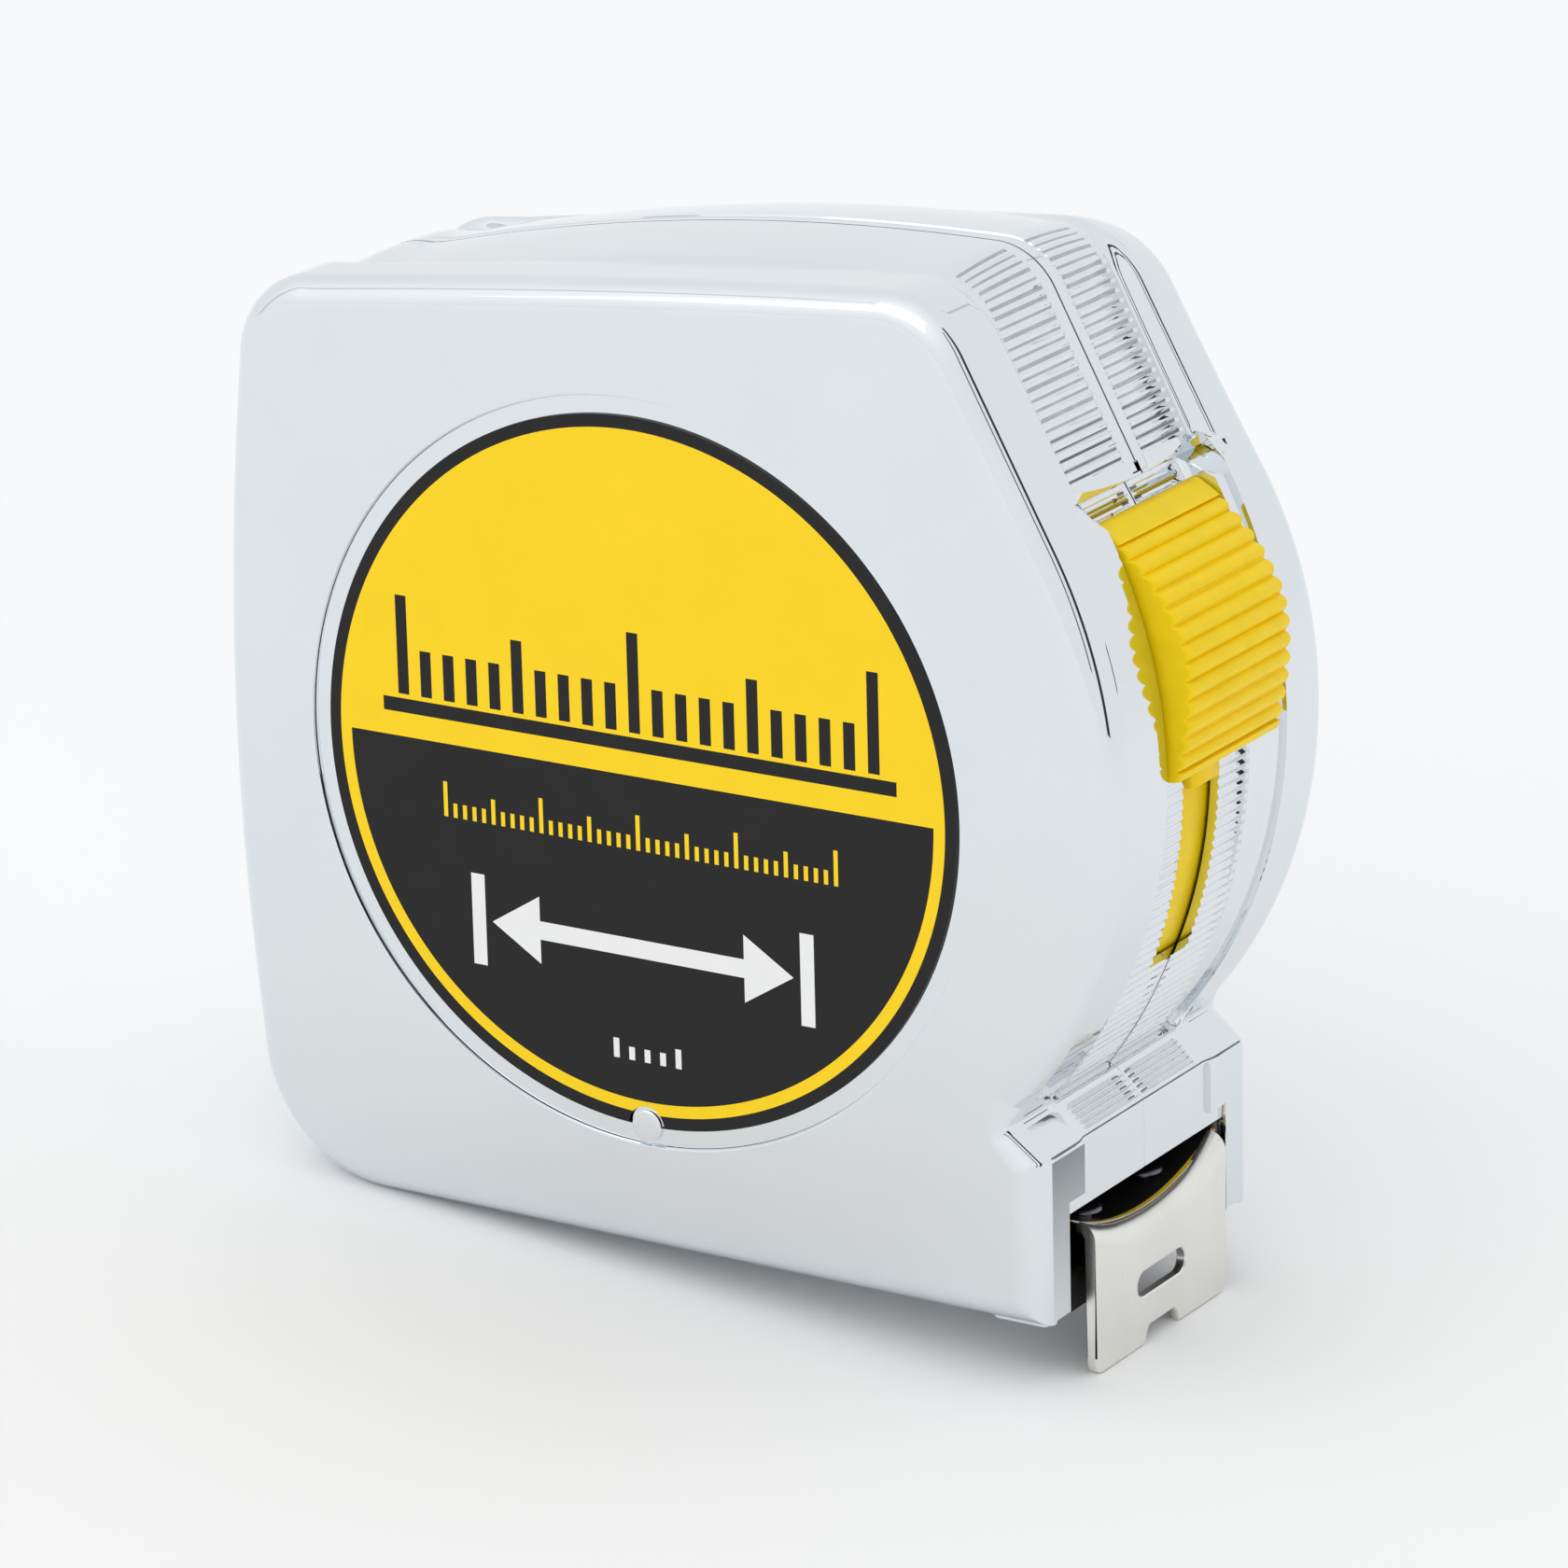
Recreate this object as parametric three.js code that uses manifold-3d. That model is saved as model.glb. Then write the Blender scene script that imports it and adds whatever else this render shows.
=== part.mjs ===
// Pocket tape measure with a chromed two-part case, sliding blade lock and true-zero end hook.
// Millimetres. X points out of the blade mouth, Y from the label side to the clip side, Z up.
// The origin is the middle of the case's flat base.
import * as THREE from 'three';
import { mergeVertices } from 'three/addons/utils/BufferGeometryUtils.js';
import Module from 'manifold-3d';

const wasm = await Module();
wasm.setup();

// ---------- driving dimensions ----------
const caseWidth = 37.5;          // across both halves
const wall = 2.0;                // general wall of the moulded halves
const seamGap = 0.1;             // parting line between the halves
const fit = 0.3;                 // working gap between neighbouring pieces
const faceRound = 2.6;           // rounding between a side face and the rim

const clearCut = 1.0;            // how far a cutter runs past the face that it cuts
const bite = 0.1;                // how far joined solids reach into each other

const bladeWidth = 25.0;
const bladeThickness = 0.14;
const bladeCurve = 29.0;         // radius of the blade's hollow cross-section
const bladeCentreZ = 5.2;        // underside of the blade on its centreline
const bladeDrop = 2.5;           // from the lowest point of the coil to that underside
const bladeInside = 8.0;         // the modelled length starts this far ahead of the reel's axis
const coilRadius = 36.0;         // eight metres of blade, wound up
const coilDepth = 6.8;           // radial thickness of the wound blade

const reelX = 1.5;               // axis of the reel, also the centre of the label
const reelZ = bladeCentreZ + bladeDrop + coilRadius;
const reelRear = reelX - coilRadius;
const reelFront = reelX + coilRadius;
const reelTop = reelZ + coilRadius;

const baseRear = reelRear + 7.1; // where the flat base meets the rear bottom corner
const rearBottomRadius = 13.0;
const rearBulge = reelRear - 9.4; // control abscissa of the slightly bowed back
const rearTopX = reelRear + 3.0;
const rearTopZ = reelTop - 4.1;
const rearTopRadius = 8.2;
const topCrownZ = reelTop + 7.9; // control height of the cheeks' gently crowned top
const topFrontX = reelFront - 5.6; // sharp corner that the top front rounding replaces
const topFrontZ = reelTop + 10.1;
const topFrontRadius = 9.0;

const cheekArcX = reelX + 2.8;   // centre and radius of the cheeks' bowed front
const cheekArcZ = reelZ + 3.9;
const cheekArcRadius = coilRadius + 8.5;
const cheekArcHigh = 28.8;       // degrees
const cheekNeckRise = 1.65;      // from the neck to the bow's lower end

const noseX = reelFront + 3.2;   // front plate above the mouth
const noseCheekStep = 0.4;       // cheeks stand proud of the front plate
const noseTopZ = 15.1;
const neckX = noseX - 2.8;
const neckZ = noseTopZ + 2.6;
const footDepth = 0.6;           // front foot below the flat base
const footRear = noseX - 6.4;
const footToe = 1.2;             // length of the foot's front bevel

const cornerLean = 0.65;         // how far a slanted corner moves along X, per unit of inset
const noseLean = 0.4;            // how far the nose's corners move along Z, per unit of inset

const bandHalf = 11.0;           // half width of the centre band
const bandTopX = reelFront - 13.5; // highest point of the band's arched top
const bandTopZ = reelTop + 10.2;
const bandTopRadius = 218.0;
const bandRearX = reelRear + 1.5;
const bandFrontX = reelFront - 6.4; // sharp corner replaced by the band's top front rounding
const bandFrontRadius = 6.7;
const bandRearInset = 0.8;
const bandStepWall = 3.4;        // wall under the band, which the cheeks step down from
const cavityFront = 2.0;         // front end of the room inside, ahead of the band's highest point
const lipX = reelFront + 3.6;    // lower end of the band's slanted front
const lipZ = reelTop - 8.6;

const channelX = reelX - 0.4;    // centre of the lock channel's floor and of the slider's travel
const channelZ = reelZ + 1.8;
const channelRadius = coilRadius + 9.5;
const channelHalf = 9.05;        // half width between the rails
const channelHigh = 33.4;        // degrees
const channelNeckRise = 0.16;    // from the neck to the channel's lower end
const floorWall = 0.9;           // wall under the channel floor
const railDrop = 0.4;            // rail crest below the cheeks
const railRoot = 0.5;            // depth of a rail's root below the channel floor
const railSetback = 2.4;         // degrees that a rail stops short of the bow's lower end
const railTopSetback = 1.3;
const slotHalf = 3.1;
const slotLow = -22.1;           // degrees
const slotHigh = 26.0;

const mouthSide = 1.1;           // room beside the blade
const mouthHalf = bladeWidth / 2 + mouthSide;
const mouthTop = bladeCentreZ + 3.7; // clears the raised edges of the hollow blade
const mouthRear = noseX - 4.3;
const bumperFit = 0.2;
const bumperPost = 0.7;
const bumperSet = 0.3;           // bumper behind the front plate
const bumperBelow = 0.4;         // sill below the flat base
const bumperFloor = 0.9;         // room between the sill and the rivet heads

const labelRadius = 32.0;
const labelThickness = 0.25;
const labelMargin = 1.7;         // bare ring of the recess around the label
const labelRecessDepth = 0.4;
const labelBossRadius = 1.5;     // locating boss at the label's lower edge

const drumWall = 1.4;
const drumWeb = 1.2;
const hubLength = 5.0;
const hubRadius = 6.2;
const anchorWidth = 4.0;         // lug that the outer end of the spring hooks on
const anchorHeight = 1.6;
const discThickness = 0.6;
const discBore = hubRadius + 2.5;
const discOverhang = 0.2;        // disc beyond the wound blade
const arborRadius = 3.6;
const arborSlit = 0.8;           // slit that holds the inner end of the spring
const spigotRadius = 2.2;
const spigotLength = 1.0;
const springMargin = 2.2;        // spring inside the edges of the blade
const springSetback = 0.6;       // clear of the drum's web
const springTurns = 10;
const springThickness = 0.5;
const springInner = 7.4;
const springOuter = 24.5;

const hookWidth = bladeWidth - 2.0;
const hookThickness = 1.0;
const hookX = noseX + 0.6;       // inner face of the hanging plate
const hookBottom = -6.3;
const hookTongue = 13.0;
const hookPlay = 1.0;            // true-zero travel of the hook
const nailSlotLength = 8.4;
const nailSlotHeight = 2.3;
const nailSlotZ = -0.7;
const hookNotchWidth = 4.6;
const hookNotchHeight = 1.5;
const hookCorner = 1.2;
const hookNotchSlope = 0.8;
const tongueInset = 2.0;         // each side of the tongue, inside the plate's edge
const hookBend = 1.6;            // full-width length behind the plate
const rivetRadius = 1.0;
const rivetHeadRadius = 1.7;
const rivetHead = 0.45;
const rivetPitch = 5.3;
const rivetSetback = 3.2;        // front rivets behind the end of the blade
const rivetFit = 0.15;
const rivetSeat = 0.05;          // gap under a rivet head

const padHalf = channelHalf - 0.35;
const padLow = 2.4;              // degrees along the channel
const padHigh = 30.2;
const padPeak = 16.0;
const padPeakRadius = channelRadius + 5.5;
const padTopRadius = channelRadius + 1.2;
const padBottomRadius = channelRadius + 2.8;
const padRidges = 12;
const padRidgeDepth = 0.45;
const padFall = 1.6;             // steepness of the pad's lower half near its peak
const stemHalf = slotHalf - 0.65;
const stemLow = -0.8;
const stemHigh = 20.0;
const armThickness = 1.7;
const armHalf = 4.0;
const armLow = -43.5;
const guideHalf = 6.4;           // wide part of the arm, kept under the channel floor
const guideLow = -6.0;
const guideHigh = 25.0;

const screwRadius = 1.25;
const screwHeadRadius = 2.6;
const screwHeadHeight = 1.5;
const screwLength = 22.0;
const screwFit = 0.1;
const screwSink = 0.5;           // screw heads below the clip-side face
const crossReach = 0.62;         // cross recess, as a share of the head's radius
const crossWidth = 0.64;
const crossDepth = 0.8;
const bossRadius = 3.0;
const screwPlaces = [
  [baseRear - 5.1, 9.6],
  [rearTopX - 2.1, rearTopZ - 1.2],
  [topFrontX - 3.9, topFrontZ - 8.8],
  [noseX - 4.8, noseTopZ - 2.7],
];

const clipWidth = 22.0;
const clipThickness = 1.0;
const clipGap = 4.6;             // room for a belt behind the clip
const clipTop = reelZ + 35.3;
const clipBottom = reelZ - 21.7;
const clipScrewZ = clipTop - 7.0;
const clipSeat = 0.05;           // gap between the clip's foot and the case
const clipFootLength = 6.0;      // foot below its screw
const clipBendDrop = 5.0;        // centre of the top bend below the clip's top
const clipTipReach = 5.0;        // height of the turned-out tip
const clipNeckGap = 1.4;         // gap at the narrowest place, above the tip
const clipTipGap = 3.0;
const clipHoleFit = 0.2;
const clipDriverRoom = 1.0;      // round the screw's head, for a screwdriver
const clipBossRadius = 4.2;
const clipBossLength = 4.6;
const clipScrewLength = 5.5;
const arborScrewLength = 10.0;

const halfWidth = caseWidth / 2;
const rad = THREE.MathUtils.degToRad;
const cheekArcLow = bowLowAngle(cheekArcZ, cheekArcRadius, cheekNeckRise);
const channelLow = bowLowAngle(channelZ, channelRadius, channelNeckRise);

// ---------- helpers ----------
// Angle in degrees at which a bowed front meets the neck.
function bowLowAngle(centreZ, radius, rise) {
  return -THREE.MathUtils.radToDeg(Math.asin((centreZ - neckZ - rise) / radius));
}

function toSolid(geometry) {
  const bare = geometry.index ? geometry.toNonIndexed() : geometry.clone();
  bare.deleteAttribute('normal');
  bare.deleteAttribute('uv');
  const merged = mergeVertices(bare, 1e-4);
  return new wasm.Manifold(new wasm.Mesh({
    numProp: 3,
    vertProperties: merged.attributes.position.array,
    triVerts: new Uint32Array(merged.index.array),
  }));
}

function toGeometry(solid) {
  const mesh = solid.getMesh();
  const geometry = new THREE.BufferGeometry();
  geometry.setAttribute('position', new THREE.BufferAttribute(mesh.vertProperties, 3));
  geometry.setIndex(new THREE.BufferAttribute(mesh.triVerts, 1));
  geometry.computeVertexNormals();
  return geometry;
}

// Extrudes an outline drawn in X and Z from one Y to another.
function slabY(shape, yLow, yHigh, curveSegments = 6) {
  const geometry = new THREE.ExtrudeGeometry(shape, {
    depth: yHigh - yLow,
    bevelEnabled: false,
    curveSegments,
  });
  geometry.rotateX(Math.PI / 2);
  geometry.translate(0, yHigh, 0);
  return toSolid(geometry);
}

// Extrudes an outline drawn in Y and Z along X.
function slabX(shape, xLow, xHigh, curveSegments = 6) {
  const geometry = new THREE.ExtrudeGeometry(shape, {
    depth: xHigh - xLow,
    bevelEnabled: false,
    curveSegments,
  });
  geometry.rotateX(Math.PI / 2);
  geometry.rotateZ(Math.PI / 2);
  geometry.translate(xLow, 0, 0);
  return toSolid(geometry);
}

function box(xLow, xHigh, yLow, yHigh, zLow, zHigh) {
  const geometry = new THREE.BoxGeometry(xHigh - xLow, yHigh - yLow, zHigh - zLow);
  geometry.translate((xLow + xHigh) / 2, (yLow + yHigh) / 2, (zLow + zHigh) / 2);
  return toSolid(geometry);
}

// A round bar along Y, centred on (x, z).
function barY(radius, yLow, yHigh, x, z, segments = 32) {
  const geometry = new THREE.CylinderGeometry(radius, radius, yHigh - yLow, segments);
  geometry.translate(x, (yLow + yHigh) / 2, z);
  return toSolid(geometry);
}

function cylinderZ(radius, zLow, zHigh, x, y, segments = 12) {
  const geometry = new THREE.CylinderGeometry(radius, radius, zHigh - zLow, segments);
  geometry.rotateX(Math.PI / 2);
  geometry.translate(x, y, (zLow + zHigh) / 2);
  return toSolid(geometry);
}

function join(solids) {
  return solids.reduce((sum, next) => sum.add(next));
}

function channelPoint(radius, degrees) {
  return new THREE.Vector2(
    channelX + radius * Math.cos(rad(degrees)),
    channelZ + radius * Math.sin(rad(degrees)),
  );
}

// A strip that follows the lock channel between two radii and two angles.
function channelStrip(inner, outer, low, high) {
  const shape = new THREE.Shape();
  shape.absarc(channelX, channelZ, outer, rad(low), rad(high), false);
  const end = channelPoint(inner, high);
  shape.lineTo(end.x, end.y);
  shape.absarc(channelX, channelZ, inner, rad(high), rad(low), true);
  shape.closePath();
  return shape;
}

// Replaces a sharp corner by an arc, on the way from the path's current point to `next`.
function roundCorner(path, corner, next, radius) {
  const from = path.currentPoint.clone().sub(corner).normalize();
  const to = next.clone().sub(corner).normalize();
  const half = Math.acos(from.dot(to)) / 2;
  const start = corner.clone().addScaledVector(from, radius / Math.tan(half));
  const end = corner.clone().addScaledVector(to, radius / Math.tan(half));
  const inward = from.clone().add(to).normalize();
  const centre = corner.clone().addScaledVector(inward, radius / Math.sin(half));
  path.lineTo(start.x, start.y);
  path.absarc(
    centre.x, centre.y, radius,
    Math.atan2(start.y - centre.y, start.x - centre.x),
    Math.atan2(end.y - centre.y, end.x - centre.x),
    false,
  );
}

// ---------- case outlines, drawn in X and Z ----------
// Rear and bottom, shared by every outline; `inset` moves it inwards.
function closeAroundRear(shape, topStart, inset) {
  const radius = rearTopRadius - inset;
  shape.lineTo(topStart.x, topStart.y);
  shape.absarc(rearTopX, rearTopZ, radius, rad(90), rad(180), false);
  shape.quadraticCurveTo(
    rearBulge + inset, (rearTopZ + rearBottomRadius) / 2,
    baseRear - rearBottomRadius + inset, rearBottomRadius,
  );
  shape.absarc(baseRear, rearBottomRadius, rearBottomRadius - inset, rad(180), rad(270), false);
  shape.closePath();
}

// Side cheeks: the outer rim beside the band, `inset` inwards.
function cheekOutline(inset) {
  const shape = new THREE.Shape();
  const front = noseX + noseCheekStep - inset;
  const radius = cheekArcRadius - inset;
  const highAngle = rad(cheekArcHigh);
  const slantEnd = new THREE.Vector2(topFrontX - inset * cornerLean, topFrontZ - inset);
  const topRear = new THREE.Vector2(rearTopX, rearTopZ + rearTopRadius - inset);
  shape.moveTo(baseRear, inset);
  shape.lineTo(front, inset);
  shape.lineTo(front, noseTopZ - inset * noseLean);
  shape.lineTo(neckX - inset * cornerLean, neckZ - inset * noseLean);
  shape.absarc(cheekArcX, cheekArcZ, radius, rad(cheekArcLow), highAngle, false);
  roundCorner(shape, slantEnd, topRear, Math.max(topFrontRadius - inset, 1));
  shape.quadraticCurveTo((topFrontX + rearTopX) / 2, topCrownZ - inset, topRear.x, topRear.y);
  closeAroundRear(shape, topRear, inset);
  return shape;
}

// Centre band with the lock channel sunk into its front, `inset` inwards.
function bandOutline(inset) {
  const shape = new THREE.Shape();
  const front = noseX - inset;
  const corner = new THREE.Vector2(bandFrontX - inset * cornerLean, bandTopZ - inset);
  const topRadius = bandTopRadius - inset;
  const topCentreZ = bandTopZ - bandTopRadius;
  const rearAngle = Math.PI - Math.acos((bandTopX - bandRearX) / topRadius);
  const topRear = new THREE.Vector2(rearTopX, rearTopZ + rearTopRadius - bandRearInset - inset);
  shape.moveTo(baseRear, inset);
  shape.lineTo(front, inset);
  shape.lineTo(front, noseTopZ - inset * noseLean);
  shape.lineTo(neckX - inset, neckZ - inset * noseLean);
  shape.absarc(channelX, channelZ, channelRadius - inset, rad(channelLow), rad(channelHigh), false);
  shape.lineTo(lipX - inset, lipZ);
  roundCorner(shape, corner, new THREE.Vector2(bandTopX, corner.y), bandFrontRadius);
  shape.absarc(bandTopX, topCentreZ, topRadius, rad(90), rearAngle, false);
  closeAroundRear(shape, topRear, inset + bandRearInset);
  return shape;
}

// Room inside the case: its wall is thin under the channel floor.
function cavityOutline() {
  const shape = new THREE.Shape();
  const inset = wall;
  const topRadius = bandTopRadius - bandStepWall;
  const topCentreZ = bandTopZ - bandTopRadius;
  const topFront = bandTopX + cavityFront;
  const frontAngle = Math.acos((topFront - bandTopX) / topRadius);
  const rearAngle = Math.PI - Math.acos((bandTopX - rearTopX) / topRadius);
  const topRear = new THREE.Vector2(rearTopX, rearTopZ + rearTopRadius - inset - bandRearInset);
  const inner = channelRadius - floorWall;
  shape.moveTo(baseRear, inset);
  shape.lineTo(noseX - inset, inset);
  shape.lineTo(noseX - inset, noseTopZ - inset);
  shape.lineTo(neckX - inset, neckZ - inset);
  shape.absarc(channelX, channelZ, inner, rad(channelLow - railSetback), rad(channelHigh), false);
  shape.absarc(bandTopX, topCentreZ, topRadius, frontAngle, rearAngle, false);
  closeAroundRear(shape, topRear, inset + bandRearInset);
  return shape;
}

// ---------- case halves ----------
// Tapers the rim towards the side face in a few steps that follow a quarter round.
function cheekSolid(side) {
  const steps = 3;
  const parts = [];
  const plain = halfWidth - faceRound;
  parts.push(slabBetween(cheekOutline(0), side, bandHalf, plain));
  for (let i = 0; i < steps; i += 1) {
    const angle = ((i + 1) / steps) * (Math.PI / 2);
    const inner = plain + faceRound * Math.sin((i / steps) * (Math.PI / 2));
    const outer = plain + faceRound * Math.sin(angle);
    const inset = faceRound * (1 - Math.cos(((i + 0.5) / steps) * (Math.PI / 2)));
    parts.push(slabBetween(cheekOutline(inset), side, inner - bite, outer));
  }
  return join(parts);
}

// A slab between two distances from the parting line, on side -1 (label) or +1 (clip).
function slabBetween(shape, side, near, far, curveSegments = 6) {
  const low = side > 0 ? near : -far;
  const high = side > 0 ? far : -near;
  return slabY(shape, low, high, curveSegments);
}

function barBetween(radius, side, near, far, x, z, segments) {
  const low = side > 0 ? near : -far;
  const high = side > 0 ? far : -near;
  return barY(radius, low, high, x, z, segments);
}

// Rails either side of the lock channel.
function rails(side) {
  const shape = new THREE.Shape();
  const crest = cheekArcRadius - railDrop;
  const low = cheekArcLow + railSetback;
  const high = cheekArcHigh - railTopSetback;
  shape.absarc(cheekArcX, cheekArcZ, crest, rad(low), rad(high), false);
  const end = channelPoint(channelRadius - railRoot, high);
  shape.lineTo(end.x, end.y);
  shape.absarc(channelX, channelZ, channelRadius - railRoot, rad(high), rad(channelLow), true);
  shape.closePath();
  return slabBetween(shape, side, channelHalf, bandHalf + bite);
}

function caseHalf(side) {
  const start = seamGap / 2;
  let half = slabBetween(bandOutline(0), side, start, bandHalf + bite, 9);
  half = half.add(cheekSolid(side));
  half = half.add(rails(side));
  half = half.add(slabBetween(footShape(), side, start, halfWidth - faceRound));
  half = half.subtract(slabBetween(cavityOutline(), side, -clearCut, halfWidth - wall, 9));
  for (const [x, z] of screwPlaces) {
    half = half.add(barBetween(bossRadius, side, start, halfWidth - wall + bite, x, z, 20));
  }
  half = half.subtract(slabBetween(
    channelStrip(channelRadius - floorWall - clearCut, channelRadius + clearCut, slotLow, slotHigh),
    side, -clearCut, slotHalf,
  ));
  half = half.subtract(box(
    mouthRear, noseX + clearCut, -mouthHalf, mouthHalf, -footDepth - clearCut, mouthTop,
  ));
  return half;
}

function footShape() {
  const shape = new THREE.Shape();
  const front = noseX + noseCheekStep;
  shape.moveTo(footRear, bite);
  shape.lineTo(footRear + footDepth, -footDepth);
  shape.lineTo(front - footToe, -footDepth);
  shape.lineTo(front, footDepth - noseCheekStep / 2);
  shape.closePath();
  return shape;
}

function frontCaseHalf() {
  let half = caseHalf(-1);
  const recess = barY(
    labelRadius + labelMargin, -halfWidth - clearCut, -halfWidth + labelRecessDepth, reelX, reelZ, 64,
  );
  const boss = barY(
    labelBossRadius, -halfWidth, -halfWidth + labelRecessDepth + bite, reelX, reelZ - labelRadius, 16,
  );
  half = half.subtract(recess).add(boss);
  const spigotEnd = halfWidth - wall + spigotLength;
  half = half.subtract(barBetween(spigotRadius + fit, -1, 0, spigotEnd, reelX, reelZ, 24));
  const screwEnd = screwLength + screwSink - halfWidth + clearCut;
  for (const [x, z] of screwPlaces) {
    half = half.subtract(barBetween(screwRadius + screwFit, -1, -clearCut, screwEnd, x, z, 12));
  }
  return half;
}

function rearCaseHalf() {
  let half = caseHalf(1);
  const outside = halfWidth + clearCut;
  const headSeat = halfWidth - screwSink - screwHeadHeight - screwFit;
  for (const [x, z] of screwPlaces) {
    half = half.subtract(barY(screwRadius + screwFit, -clearCut, outside, x, z, 12));
    half = half.subtract(barY(screwHeadRadius + screwFit, headSeat, outside, x, z, 20));
  }
  half = half.subtract(barY(screwRadius + screwFit, 0, outside, reelX, reelZ, 12));
  const bossEnd = halfWidth - clipBossLength;
  half = half.add(barY(clipBossRadius, bossEnd, halfWidth - bite, reelX, clipScrewZ, 24));
  half = half.subtract(barY(
    screwRadius + screwFit, bossEnd + clearCut, outside, reelX, clipScrewZ, 12,
  ));
  return half;
}

// ---------- fasteners ----------
function screwAt(x, z, headTop, length, headRadius = screwHeadRadius) {
  const head = barY(headRadius, headTop - screwHeadHeight, headTop, x, z, 28);
  const shank = barY(screwRadius, headTop - length, headTop - screwHeadHeight + bite, x, z, 16);
  const reach = headRadius * crossReach;
  const slim = crossWidth / 2;
  const low = headTop - crossDepth;
  const high = headTop + clearCut;
  const crossA = box(x - reach, x + reach, low, high, z - slim, z + slim);
  const crossB = box(x - slim, x + slim, low, high, z - reach, z + reach);
  return head.add(shank).subtract(crossA).subtract(crossB);
}

// ---------- blade, hook and reel ----------
// Height of the blade's hollow section above its centreline.
function hollowRise(y) {
  return bladeCurve - Math.sqrt(bladeCurve ** 2 - y ** 2);
}

// The hollow section of the blade, drawn in Y and Z; `drop` moves it down, `thick` is its thickness.
function hollowSection(width, drop, thick) {
  const steps = 12;
  const half = width / 2;
  const shape = new THREE.Shape();
  for (let i = 0; i <= steps; i += 1) {
    const y = -half + (width * i) / steps;
    const z = bladeCentreZ - drop + hollowRise(y);
    if (i === 0) shape.moveTo(y, z);
    else shape.lineTo(y, z);
  }
  for (let i = steps; i >= 0; i -= 1) {
    const y = -half + (width * i) / steps;
    shape.lineTo(y, bladeCentreZ - drop + thick + hollowRise(y));
  }
  shape.closePath();
  return shape;
}

const bladeFront = hookX - 0.6;
const bladeTail = reelX + bladeInside;
const tongueDrop = hookThickness + 0.1; // underside of the hook's tongue below the blade's
const throughTop = mouthTop + clearCut; // cutters through the blade and tongue end above both

function bladeLead() {
  const section = hollowSection(bladeWidth, 0, bladeThickness);
  let blade = slabX(section, bladeTail, bladeFront);
  for (const [x, y] of rivetPlaces()) {
    blade = blade.subtract(cylinderZ(rivetRadius, 0, throughTop, x, y));
  }
  return blade;
}

function rivetPlaces() {
  const first = bladeFront - rivetSetback;
  return [[first, -rivetPitch], [first, rivetPitch], [first - rivetPitch, 0]];
}

function rivet(x, y) {
  const far = Math.abs(y) + rivetHeadRadius;
  const near = Math.max(Math.abs(y) - rivetHeadRadius, 0);
  const top = bladeCentreZ + bladeThickness + hollowRise(far) + rivetSeat;
  const bottom = bladeCentreZ - tongueDrop + hollowRise(near) - rivetSeat;
  const headTop = cylinderZ(rivetHeadRadius, top, top + rivetHead, x, y);
  const headBottom = cylinderZ(rivetHeadRadius, bottom - rivetHead, bottom, x, y);
  const shank = cylinderZ(rivetRadius - rivetFit, bottom - bite, top + bite, x, y);
  return headTop.add(headBottom).add(shank);
}

function endHook() {
  const drop = tongueDrop;
  const tongue = slabX(
    hollowSection(hookWidth - 2 * tongueInset, drop, hookThickness),
    hookX - hookTongue, hookX + hookThickness,
  );
  const bend = slabX(
    hollowSection(hookWidth, drop, hookThickness), hookX - hookBend, hookX + hookThickness,
  );
  const half = hookWidth / 2;
  const plate = new THREE.Shape();
  const steps = 12;
  plate.moveTo(-half + hookCorner, hookBottom);
  plate.lineTo(-hookNotchWidth / 2 - hookNotchSlope, hookBottom);
  plate.lineTo(-hookNotchWidth / 2, hookBottom + hookNotchHeight);
  plate.lineTo(hookNotchWidth / 2, hookBottom + hookNotchHeight);
  plate.lineTo(hookNotchWidth / 2 + hookNotchSlope, hookBottom);
  plate.lineTo(half - hookCorner, hookBottom);
  plate.lineTo(half, hookBottom + hookCorner);
  for (let i = 0; i <= steps; i += 1) {
    const y = half - (hookWidth * i) / steps;
    plate.lineTo(y, bladeCentreZ - drop + hollowRise(y) + hookThickness / 2);
  }
  plate.lineTo(-half, hookBottom + hookCorner);
  plate.closePath();
  const slot = new THREE.Path();
  const reach = (nailSlotLength - nailSlotHeight) / 2;
  slot.absarc(reach, nailSlotZ, nailSlotHeight / 2, rad(90), rad(-90), true);
  slot.absarc(-reach, nailSlotZ, nailSlotHeight / 2, rad(-90), rad(90), true);
  plate.holes.push(slot);
  let hook = slabX(plate, hookX, hookX + hookThickness).add(tongue).add(bend);
  const hole = rivetRadius + rivetFit;
  for (const [x, y] of rivetPlaces()) {
    const round = cylinderZ(hole, 0, throughTop, x, y);
    const moved = cylinderZ(hole, 0, throughTop, x - hookPlay, y);
    const between = box(x - hookPlay, x, y - hole, y + hole, 0, throughTop);
    hook = hook.subtract(round).subtract(moved).subtract(between);
  }
  return hook;
}

// A solid of revolution about the reel's axis; the profile holds radius and Y pairs.
function turned(profile, segments) {
  const points = profile.map(([radius, y]) => new THREE.Vector2(radius, y));
  const geometry = new THREE.LatheGeometry(points, segments);
  geometry.translate(reelX, 0, reelZ);
  return toSolid(geometry);
}

function ring(inner, outer, yLow, yHigh, segments = 48) {
  return turned(
    [[inner, yLow], [outer, yLow], [outer, yHigh], [inner, yHigh], [inner, yLow]], segments,
  );
}

function bladeCoil() {
  return ring(coilRadius - coilDepth, coilRadius, -bladeWidth / 2, bladeWidth / 2);
}

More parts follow.
